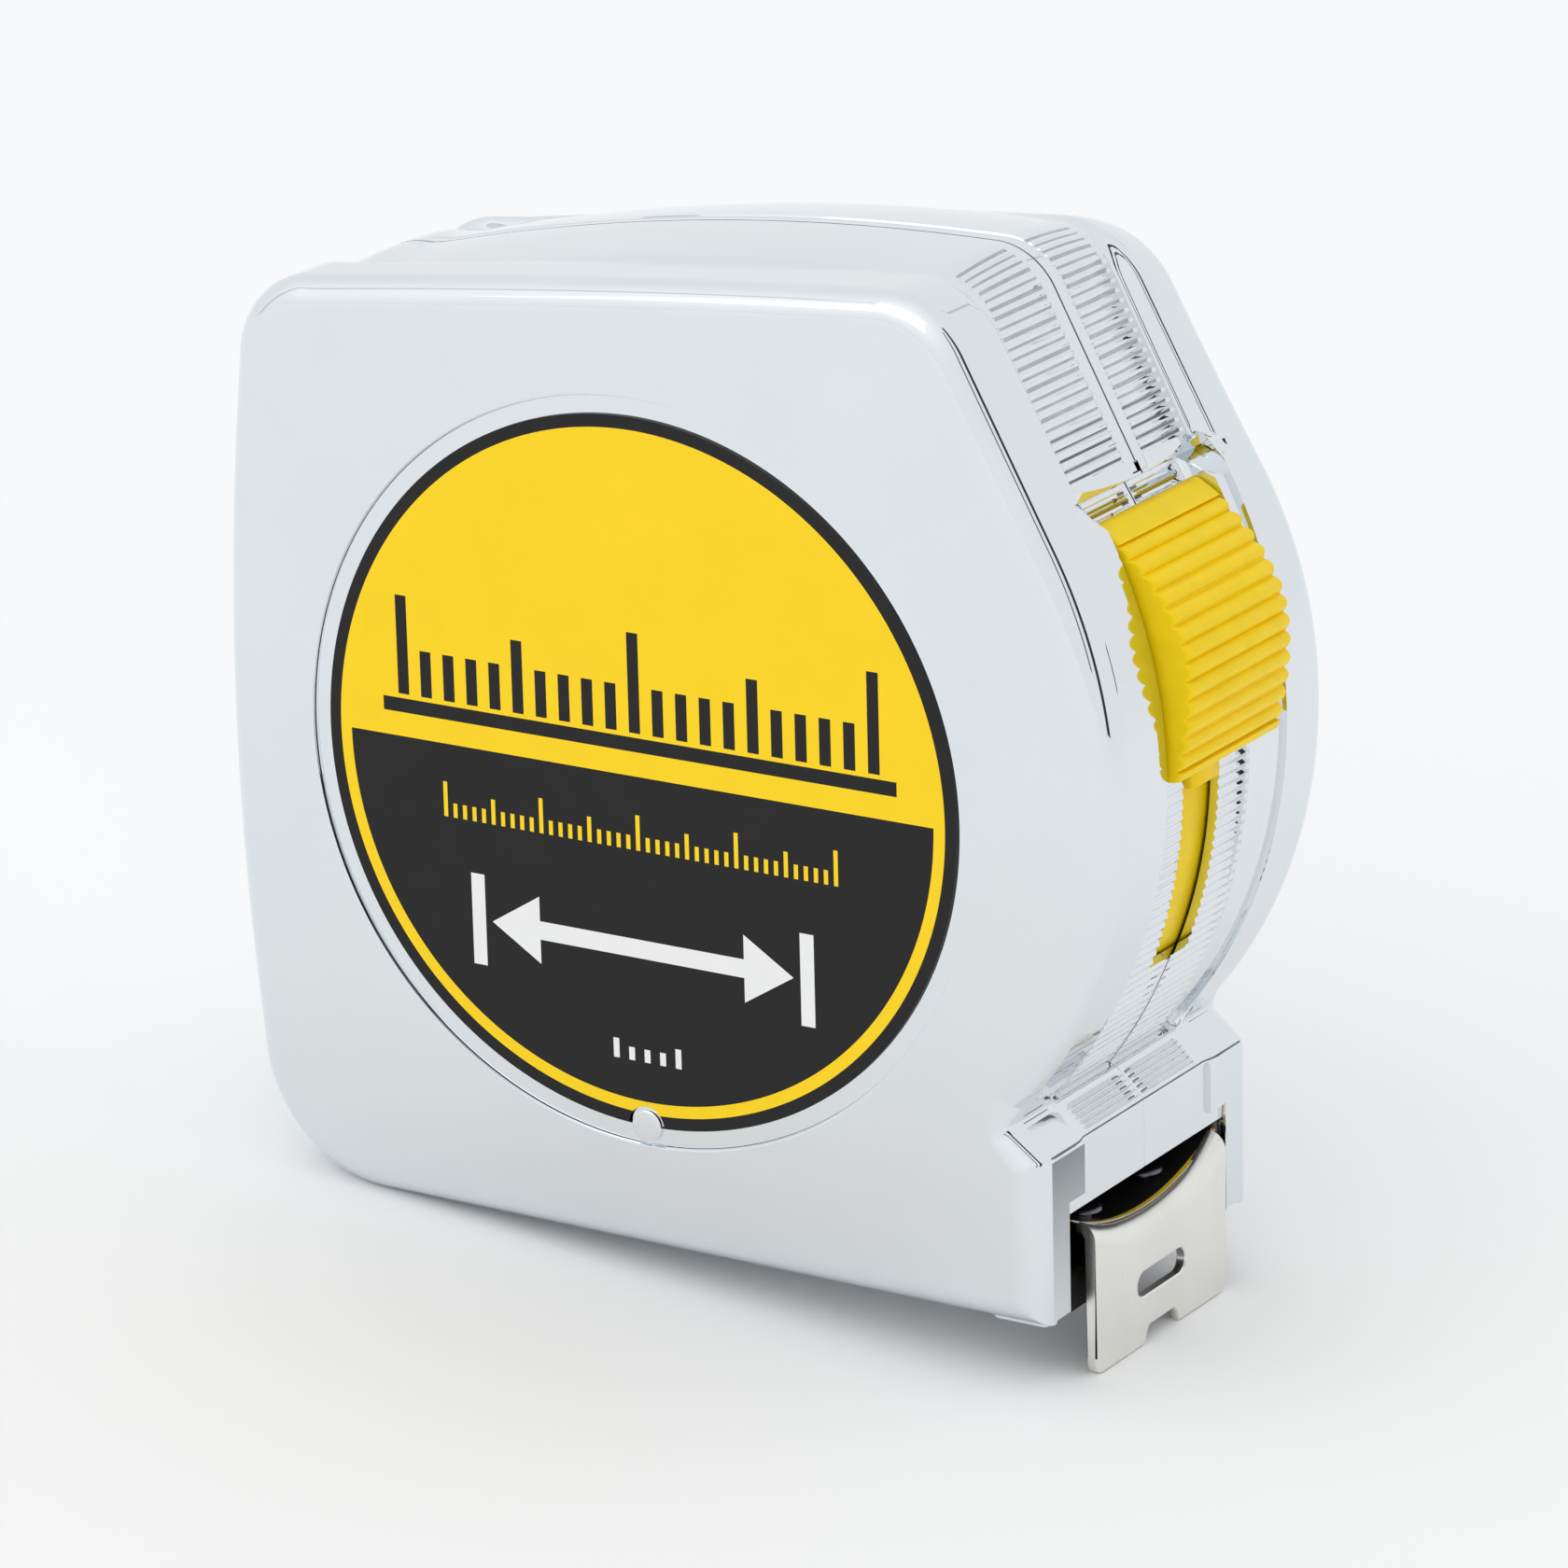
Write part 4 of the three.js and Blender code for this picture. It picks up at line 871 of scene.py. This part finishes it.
def hook():
    shape = Shape()
    hw, t = 11.5, 1.0
    face, back = HOOK_FACE, HOOK_BACK
    ro, ri = 1.7, 0.7
    tongue_half, tongue_x, lip_x = 7.3, 28.3, 40.45
    ys = np.linspace(-hw, hw, 61)

    def top_z(y):
        ear = 0.9 * max((abs(y) - 6.0) / 5.5, 0) ** 1.6
        return BLADE_Z - 1.1 + t + float(rise(y)) + (ear if y > 0 else 0.3 * ear)

    def column(y, outer):
        """Points from the tongue, round the bend, to where the flat plate starts."""
        zt = top_z(y)
        cx, cz = face - ro, zt - ro
        r = ro if outer else ri
        z_flat = zt if outer else zt - t
        # the tongue stays between the ears, which would come up through the blade
        reach = tongue_x if abs(y) < tongue_half else lip_x
        pts = [(x, z_flat) for x in np.linspace(reach, cx, 7)[:-1]]
        pts += [(cx + r * math.sin(a), cz + r * math.cos(a)) for a in np.radians(np.linspace(0, 90, 10))]
        return [(x, y, z) for x, z in pts]

    outer = np.array([column(y, True) for y in ys])
    inner = np.array([column(y, False) for y in ys])
    shape.grid(outer)
    shape.grid(inner, flip=True)
    shape.grid(np.array([outer[:, 0], inner[:, 0]]), flip=True)
    shape.grid(np.array([outer[0], inner[0]]))
    shape.grid(np.array([outer[-1], inner[-1]]), flip=True)
    bottom, corner, notch, notch_h, slope = HOOK_BOTTOM, 1.2, 2.3, 1.5, 0.8
    low = [(-hw, bottom + corner + 0.4)]
    low += [tuple(q) for q in arc((-hw + corner, bottom + corner), corner, 180, 270, 8, True)]
    notch_side = [(notch + slope, bottom), (notch + 0.25, bottom + notch_h - 0.35),
                  (notch - 0.15, bottom + notch_h)]
    low += [(-y, z) for y, z in notch_side] + notch_side[::-1]
    low += [tuple(q) for q in arc((hw - corner, bottom + corner), corner, 270, 360, 8, True)]
    low += [(hw, bottom + corner + 0.4)]
    upper = [(y, top_z(y) - ro) for y in ys[::-1]]
    loop = np.array(low + upper)
    sl, sh, sz = 8.4, 2.3, -0.7
    slot = np.concatenate([arc(((sl - sh) / 2, sz), sh / 2, -90, 90, 12, True),
                           arc((-(sl - sh) / 2, sz), sh / 2, 90, 270, 12, True)])
    edge = 0.14
    m = len(low)
    small = loop + inward(loop) * edge
    small[m:] = loop[m:]
    grown = slot - inward(slot) * edge

    def wall(x0, loop0, x1, loop1, **how):
        shape.grid(np.array([[(x0, *q) for q in loop0], [(x1, *q) for q in loop1]]), **how)

    for x, front in ((face, True), (back, False)):
        v, f = plate(small, [grown])
        shape.add([(x, *q) for q in v], wound(v, f, front))
        # small rolled edge round the plate and the nail slot
        x2 = x - edge if front else x + edge
        wall(x, small[:m], x2, loop[:m], flip=front)
        wall(x, grown, x2, slot, wrap=True, flip=not front)
    wall(face - edge, loop[:m], back + edge, loop[:m], flip=True)
    wall(face - edge, slot, back + edge, slot, wrap=True)
    for s in (0, -1):
        y, z = ys[s], top_z(ys[s]) - ro
        foot = low[s][1]
        q = [(face, y, z), (face - edge, y, foot), (back + edge, y, foot), (back, y, z)]
        shape.add(q, [[0, 1, 2, 3] if s else [3, 2, 1, 0]])
    return shape


add_piece(hook(), "end_hook_plate", [nickel], "hook", "end_hook", 40)


def lathe(shape, profile, origin, axis, n):
    """Turns (radius, height) pairs about an axis through origin."""
    o, w = np.array(origin, float), np.array(axis, float)
    u = np.array([0, 0, 1.0]) if abs(w[2]) < 0.5 else np.array([1.0, 0, 0])
    v = np.cross(w, u)
    rows = []
    for r, h in profile:
        t = np.linspace(0, 2 * np.pi, n, endpoint=False)
        rows.append([o + w * h + r * (u * math.cos(a) + v * math.sin(a)) for a in t])
    shape.grid(np.array(rows), wrap=True, flip=True)


rivet_x = BLADE_END - 3.2
for i, (rx, ry) in enumerate(((rivet_x, -5.3), (rivet_x, 5.3), (rivet_x - 5.3, 0.0))):
    s = Shape()
    far, near = abs(ry) + 1.7, max(abs(ry) - 1.7, 0)
    top = BLADE_Z + BLADE_T + float(rise(far)) + 0.02
    low = BLADE_Z - 1.1 + float(rise(near)) - 0.02
    head = [(1.7, top), (1.68, top + 0.12), (1.45, top + 0.33), (0.9, top + 0.43), (0.02, top + 0.45)]
    tail = [(0.02, low - 0.45), (1.2, low - 0.42), (1.6, low - 0.2), (1.7, low), (0.8, low), (0.8, top),
            (1.7, top)]
    for profile in (head, tail):
        lathe(s, profile, (rx, ry, 0), (0, 0, 1), 32)
    add_piece(s, f"rivet_{i + 1}", [rivet_metal], "blade", f"hook_rivet_{i + 1}", 40)


# ---------- mouth liner ----------
def liner():
    shape = Shape()
    out, post, top, front, rear = 13.4, 0.7, 8.7, 40.4, 30.5

    def block(x0, x1, y0, y1, z0, z1, e=0.15):
        yc, zc = (y0 + y1) / 2, (z0 + z1) / 2

        def ring(x, k):
            wide, tall = 1 - k / max(y1 - y0, 0.01), 1 - k / max(z1 - z0, 0.01)
            return [(x, yc + (y - yc) * wide, zc + (z - zc) * tall) for y, z in octagon(y0, y1, z0, z1, e)]

        bar(shape, [ring(x0, e), ring(x0 + e, 0), ring(x1 - e, 0), ring(x1, e)], False, False)

    mouth, inner = MOUTH_REAR + 0.2, MOUTH_REAR + 0.4
    block(mouth, front, -out, out, -0.4, 2.6)
    for s in (-1, 1):
        wall = sorted((s * out, s * (out - post)))
        block(mouth, front, *wall, -0.4, top)
        # upright ribs on the inner side of each post
        for x in (37.3, 38.3, 39.3):
            rib = sorted((s * (out - post), s * (out - post - 0.12)))
            block(x - 0.2, x + 0.2, *rib, 2.4, top - 1.2, 0.05)
        block(rear, inner, *wall, 2.2, top, 0.1)
    block(rear, inner, -out, out, top, top + 0.3, 0.05)
    block(MOUTH_REAR, front - 0.6, -out, out, top - 0.12, top + 0.1, 0.05)
    block(rear, inner, -out, out, 2.1, 2.6, 0.1)
    return shape


add_piece(liner(), "mouth_liner", [black_plastic], "case", "mouth_bumper", 40)


# ---------- clip and screws ----------
def belt_clip():
    """A bent strip: its path is drawn in Y and Z, from the hidden foot over the top to the lead-in."""
    shape = Shape()
    foot = HALF + 0.05
    t, half_width = 1.0, 11.0
    bend_z, bend_y, bend_r = 74.0, foot + 3.3, 2.8
    path = [(foot + 0.5, z) for z in (66.0, 70.0, bend_z)]
    path += [(bend_y - bend_r * math.cos(a), bend_z + bend_r * math.sin(a))
             for a in np.radians(np.linspace(0, 180, 19)[1:])]
    path += [(foot + 6.1, z) for z in np.linspace(bend_z, 32.0, 16)[1:]]
    path += list(bezier((foot + 6.1, 32.0), (foot + 4.2, 29.2), (foot + 1.95, 27.0), 6)[1:])
    path += list(bezier((foot + 1.95, 27.0), (foot + 1.5, 25.8), (foot + 3.5, 22.0), 8, True))
    path = np.array(path)
    d = np.gradient(path, axis=0)
    d /= np.linalg.norm(d, axis=1)[:, None]
    n = np.stack([-d[:, 1], d[:, 0]], 1)
    s = arclength(path)
    rows = []
    for i, (q, m) in enumerate(zip(path, n)):
        w = half_width
        for near, r in ((s[i], 3.0), (s[-1] - s[i], 6.0)):
            if near < r:
                w -= r - math.sqrt(max(r * r - (r - near) ** 2, 0))
        section = octagon(-w, w, t / 2, -t / 2, 0.18)
        rows.append([(REEL[0] + x, q[0] + m[0] * h, q[1] + m[1] * h) for x, h in section])
    bar(shape, rows, True, True)
    return shape


def screw(shape, x, z, top, length, head=2.6):
    """A countersunk screw along Y with a crossed recess."""
    prof = [(0.05, -length), (1.25, -length), (1.25, -1.5), (head * 0.55, -1.5), (head, -0.35), (head, -0.2),
            (head * 0.93, -0.06), (head * 0.8, 0.0)]
    lathe(shape, prof, (x, top, z), (0, 1, 0), 48)
    slim, reach, depth = 0.32, head * 0.62, 0.8
    cross = np.array([(slim, slim), (reach, slim), (reach, -slim), (slim, -slim), (slim, -reach),
                      (-slim, -reach), (-slim, -slim), (-reach, -slim), (-reach, slim), (-slim, slim),
                      (-slim, reach), (slim, reach)])[::-1]
    a = math.radians(20 + 31 * (x + z) % 70)
    turn = np.array([[math.cos(a), -math.sin(a)], [math.sin(a), math.cos(a)]])
    centre = np.array([x, z])
    cross = cross @ turn.T + centre
    v, f = plate(circle((x, z), head * 0.8, 48), [cross])
    flat_y(shape, v, f, top, 1)
    deep = (cross - centre) * 0.72 + centre
    shape.grid(np.array([at_y(cross, top), at_y(deep, top - depth)]), wrap=True, smooth=False)
    v, f = plate(deep)
    flat_y(shape, v, f, top - depth, 1)


add_piece(belt_clip(), "belt_clip_strip", [clip_steel], "case", "belt_clip", 40)
places = [(x, z, HALF - 0.5, 12, f"screw_{i + 1}", f"case_screw_{i + 1}") for i, (x, z) in enumerate(SCREWS)]
places += [(*REEL, HALF + 1.6, 8, "reel_screw", "arbor_screw"),
           (REEL[0], CLIP_SCREW_Z, HALF + 2.65, 5.5, "clip_screw", "belt_clip_screw")]
for x, z, top, length, name, cad in places:
    s = Shape()
    screw(s, x, z, top, length)
    add_piece(s, name, [zinc], "case", cad, 35)

# ---------- carried-over inner pieces ----------
plastic_nodes = ("spring_arbor", "reel_drum", "reel_disc_label_side", "reel_disc_clip_side")
for name, m in (*((n, reel_plastic) for n in plastic_nodes), ("power_spring", spring_steel),
                ("blade_coil", blade_paint)):
    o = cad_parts[name]
    if not o.material_slots:
        o.data.materials.append(m)
    for slot in o.material_slots:
        slot.material = m
    for poly in o.data.polygons:
        poly.use_smooth = True
    o.data.set_sharp_from_angle(angle=math.radians(30))


# ---------- stage ----------
def stage_floor():
    """A pale floor under the two lines that the tape rests on: the hook's edge and the rear of the base."""
    hook = np.array([41.5, HOOK_BOTTOM])
    c, r = np.array([BASE_REAR, REAR_LOW_R]), REAR_LOW_R
    d = hook - c
    dist = np.linalg.norm(d)
    base = math.atan2(d[1], d[0])
    tangent = base - math.acos(r / dist)
    n = np.array([math.cos(tangent), math.sin(tangent)])
    along = np.array([-n[1], n[0]])
    p = hook + n * 0.02
    size = 6000.0
    pts = []
    for a, y in ((-size, -size), (size, -size), (size, size), (-size, size)):
        q = p + along * a
        pts.append((q[0] * MM, y * MM, q[1] * MM))
    me = bpy.data.meshes.new("floor")
    me.from_pydata(pts, [], [[0, 1, 2, 3]])
    ob = bpy.data.objects.new("floor", me)
    scene.collection.objects.link(ob)
    m = bpy.data.materials.new("floor_white")
    m.use_nodes = True
    b = m.node_tree.nodes["Principled BSDF"]
    preset(b, Base_Color=(0.97, 0.97, 0.97, 1), Roughness=0.9, Specular_IOR_Level=0.1)
    me.materials.append(m)


stage_floor()

# A white room with a soft bright side and a few thin dark cards, which the chrome picks up as lines.
# Azimuth, half width, lowest and highest elevation in degrees, then darkness.
CARDS = [
    (-16.0, 5.0, -6, 62, 0.95), (-34.0, 2.2, 4, 55, 0.85), (86.0, 0.9, 24, 42, 0.3),
    (53.5, 1.6, -4, 3.0, 0.9), (205.0, 2.5, 4, 50, 0.3),
]
world = bpy.data.worlds.new("studio")
scene.world = world
world.use_nodes = True
wn = world.node_tree
bg = wn.nodes["Background"]
preset(bg, Strength=1.02)
tc = node(wn, "TexCoord")
split = node(wn, "SeparateXYZ")
wn.links.new(tc.outputs["Generated"], split.inputs["Vector"])


def calc(op, *values):
    """A math node over sockets and numbers."""
    n = node(wn, "Math")
    n.operation = op
    for i, v in enumerate(values):
        if isinstance(v, (int, float)):
            n.inputs[i].default_value = v
        else:
            wn.links.new(v, n.inputs[i])
    return n.outputs[0]


X, Y, Z = split.outputs
total = None
for azimuth, half_width, low, high, dark in CARDS:
    a = math.radians(azimuth)
    ahead = calc("ADD", calc("MULTIPLY", X, math.cos(a)), calc("MULTIPLY", Y, math.sin(a)))
    across = calc("SUBTRACT", calc("MULTIPLY", Y, math.cos(a)), calc("MULTIPLY", X, math.sin(a)))
    across = calc("ABSOLUTE", across)
    w = math.tan(math.radians(half_width))
    edge = calc("SUBTRACT", calc("MULTIPLY", ahead, w), across)
    card = calc("MULTIPLY", calc("GREATER_THAN", edge, 0.0), calc("GREATER_THAN", ahead, 0.0))
    card = calc("MULTIPLY", card, calc("GREATER_THAN", Z, math.sin(math.radians(low))))
    card = calc("MULTIPLY", card, calc("LESS_THAN", Z, math.sin(math.radians(high))))
    card = calc("MULTIPLY", card, dark)
    total = card if total is None else calc("MAXIMUM", total, card)
key = (-0.25, -0.62, 0.74)
towards = calc("ADD", calc("MULTIPLY", X, key[0]), calc("MULTIPLY", Y, key[1]))
towards = calc("ADD", towards, calc("MULTIPLY", Z, key[2]))
glow = calc("POWER", calc("MAXIMUM", towards, 0.0), 5.0)
level = calc("ADD", calc("MULTIPLY", glow, 0.32), 0.9)
level = calc("MULTIPLY", level, calc("SUBTRACT", 1.0, total))
tone = node(wn, "CombineColor")
wn.links.new(calc("MULTIPLY", level, 0.985), tone.inputs[0])
wn.links.new(level, tone.inputs[1])
wn.links.new(calc("MULTIPLY", level, 1.01), tone.inputs[2])
wn.links.new(tone.outputs["Color"], bg.inputs["Color"])


def softbox(name, loc, target, size, power):
    li = bpy.data.lights.new(name, "AREA")
    li.shape = "RECTANGLE"
    li.size, li.size_y = size
    li.energy = power
    ob = bpy.data.objects.new(name, li)
    ob.location = loc
    ob.rotation_euler = (Vector(target) - Vector(loc)).to_track_quat("-Z", "Y").to_euler()
    scene.collection.objects.link(ob)


softbox("key", (-0.5, -1.3, 1.5), (0, 0, 0.04), (1.6, 1.2), 2.4)

# ---------- camera ----------
# solved from the photograph: azimuth, elevation and roll in radians, then distances in millimetres
az, el, roll = 0.567043, 0.317332, -0.0249586
distance, aside, above, size_scale = 597.028, 11.5729, -0.49578, 1.1034
focal_pixels, image_pixels, sensor = 8235.154, 1680, 36.0
label_centre = Vector((REEL[0], -HALF, 43.66))
back = Vector((math.sin(az) * math.cos(el), -math.cos(az) * math.cos(el), math.sin(el)))
right = Vector((math.cos(az), math.sin(az), 0))
up = right.cross(-back)
r2 = math.cos(roll) * right + math.sin(roll) * up
u2 = -math.sin(roll) * right + math.cos(roll) * up
place = label_centre + size_scale * (aside * r2 + above * u2 + distance * back)
cam_data = bpy.data.cameras.new("camera")
cam_data.sensor_width = sensor
cam_data.lens = focal_pixels / image_pixels * sensor
cam_data.clip_start, cam_data.clip_end = 0.05, 50
camera = bpy.data.objects.new("camera", cam_data)
rot = Matrix((r2, u2, back)).transposed()
camera.matrix_world = Matrix.Translation(place * MM) @ rot.to_4x4()
scene.collection.objects.link(camera)
bpy.context.scene.camera = camera
scene.view_settings.view_transform = "Standard"
scene.view_settings.look = "None"
